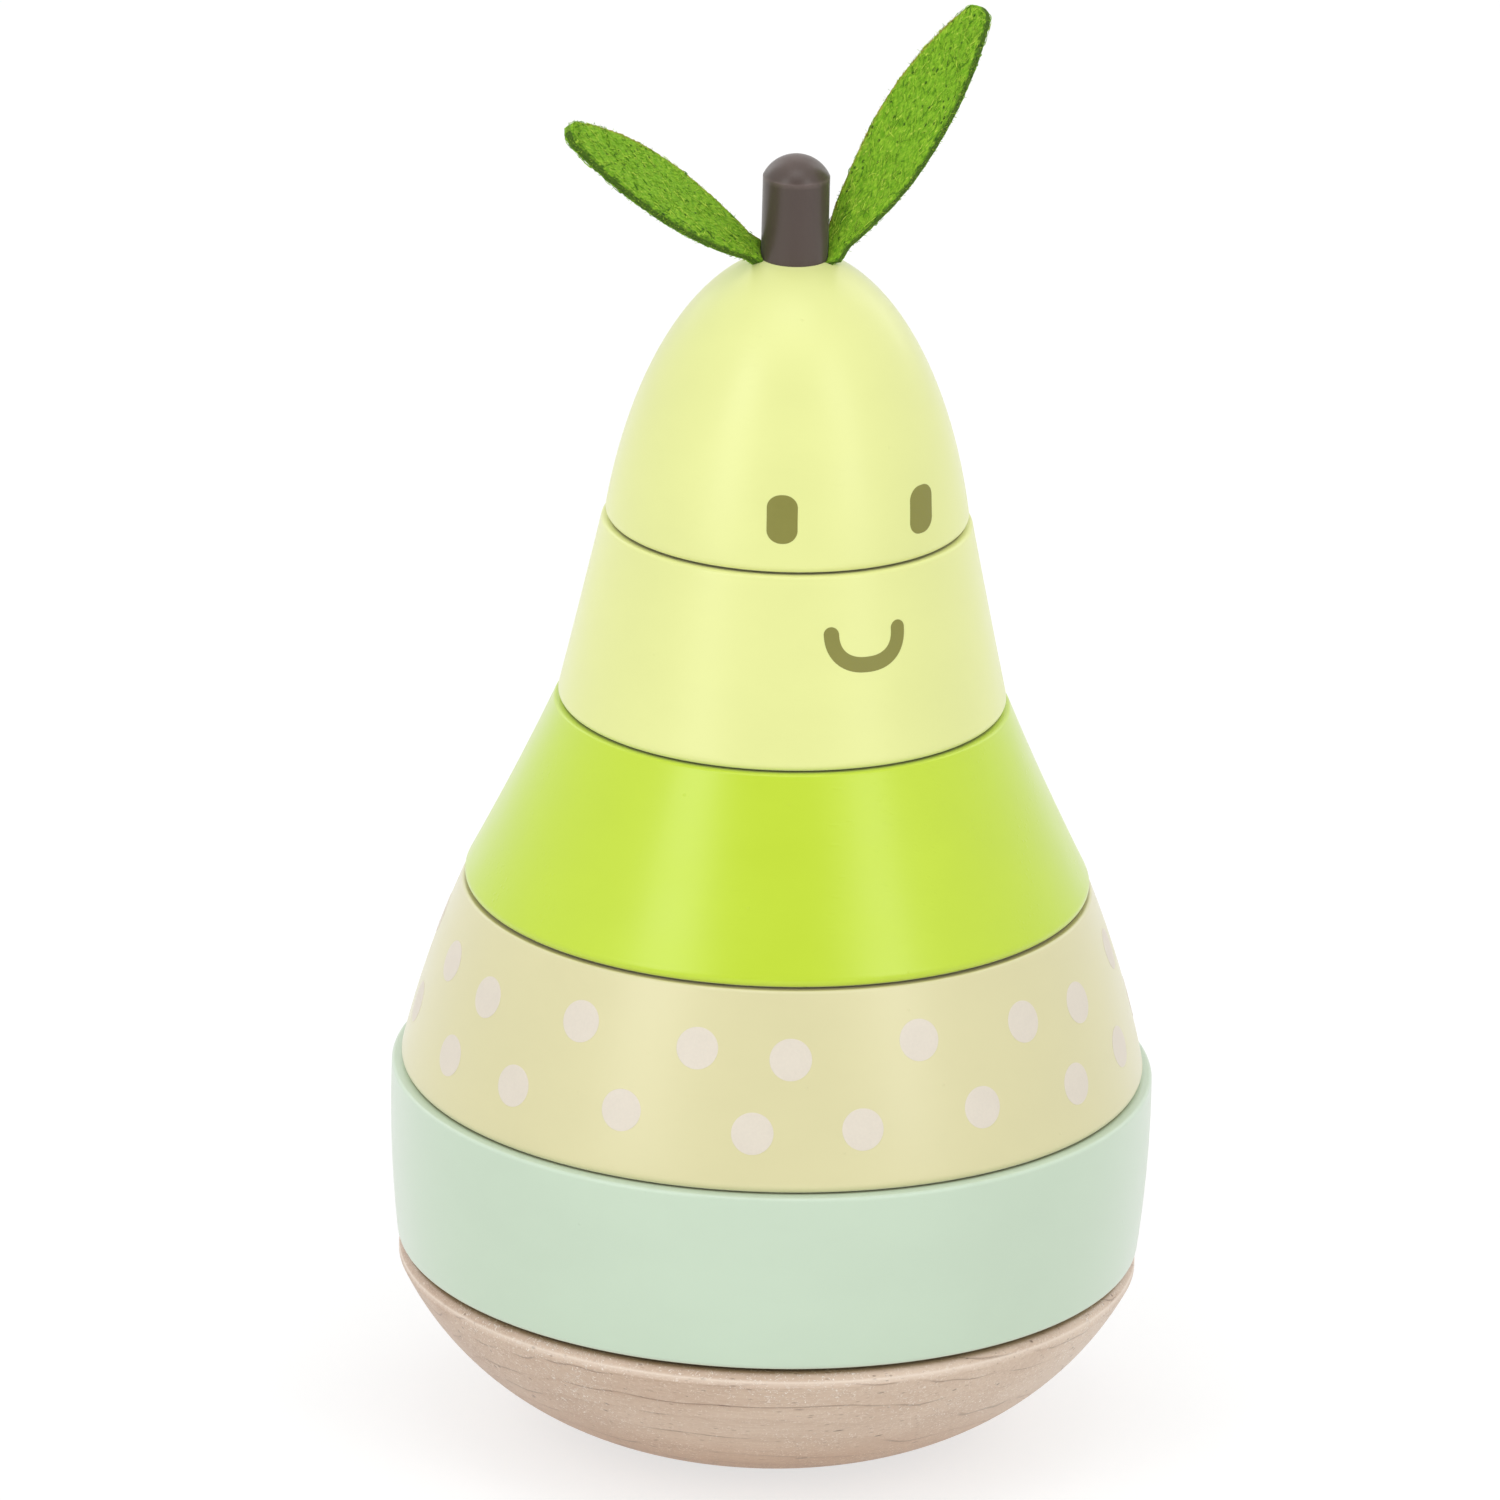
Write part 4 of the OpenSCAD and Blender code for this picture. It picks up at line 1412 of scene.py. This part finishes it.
def make_flag():
    """A dark card behind the camera, which keeps the paint's middle free of white reflections."""
    material, _, shader = new_material("dark_card")
    shader.inputs["Base Color"].default_value = grey(FLAG_GREY)
    shader.inputs["Roughness"].default_value = FLAG_ROUGH
    signs = [(1, 0), (-1, 0), (-1, 1), (1, 1)]
    corners = [(x * FLAG_HALF, -FLAG_DISTANCE, z * FLAG_TOP) for x, z in signs]
    flag = stage_card("flag", corners, material)
    flag.visible_camera = False
    flag.visible_shadow = False
    flag.visible_diffuse = False


def softbox(name, azimuth, elevation, distance, width, height, radiance):
    """A rectangle of light that looks at the toy's middle. Its power is radiance times pi times its area."""
    lamp = bpy.data.lights.new(name, "AREA")
    lamp.shape = "RECTANGLE"
    lamp.size, lamp.size_y = width, height
    lamp.energy = radiance * math.pi * width * height
    light = bpy.data.objects.new(name, lamp)
    a, e = math.radians(azimuth), math.radians(elevation)
    back = Vector((math.sin(a) * math.cos(e), -math.cos(a) * math.cos(e), math.sin(e)))
    light.location = (cad_low + cad_high) / 2 + distance * back
    light.rotation_mode = "QUATERNION"
    light.rotation_quaternion = back.to_track_quat("Z", "Y")
    light.visible_camera = False
    bpy.context.scene.collection.objects.link(light)


def make_lights():
    """A tall softbox at each side of the camera, a broad one overhead and a weaker pair behind."""
    for name, how in SOFTBOXES.items():
        softbox(name, *how)


def make_camera():
    """Long lens a little above the toy, with the slight lean that the photograph has."""
    camera = bpy.data.objects.new("camera", bpy.data.cameras.new("camera"))
    camera.data.sensor_width = SENSOR
    camera.data.lens = LENS
    camera.data.clip_end = CAMERA_REACH
    camera.location = CAMERA_PLACE
    tilt = Matrix.Rotation(math.radians(CAMERA_TILT), 4, "X")
    lean = Matrix.Rotation(math.radians(CAMERA_LEAN), 4, "Z")
    camera.rotation_mode = "QUATERNION"
    camera.rotation_quaternion = (tilt @ lean).to_quaternion()
    bpy.context.scene.collection.objects.link(camera)
    bpy.context.scene.camera = camera


def make_toy():
    """All pieces, from the base up."""
    effects = {"wood": wood_group(), "lacquer": lacquer_group(), "seam_shade": seam_shade_group()}
    wood = bare_wood(effects)
    paints = {slot: painted_wood(slot, effects, *how) for slot, how in PAINTS.items()}
    make_base(wood)
    make_post(wood)
    for node, slot in RING_PAINTS.items():
        make_ring(node, paints[slot], slot)
    make_cap(paints["pear_paint"])
    make_stem(paints["brown_paint"])
    make_dots(printed_ink("dot_ink", DOT_INK))
    olive = printed_ink("face_ink", FACE_INK)
    make_eyes(olive)
    make_smile(olive)
    felt = green_felt()
    rng = np.random.default_rng(WOOL_SEED)
    for node in LEAVES:
        make_leaf(node, felt, rng)


bpy.context.scene.view_settings.view_transform = "Standard"
make_camera()
make_world()
make_floor()
make_flag()
make_lights()
make_toy()
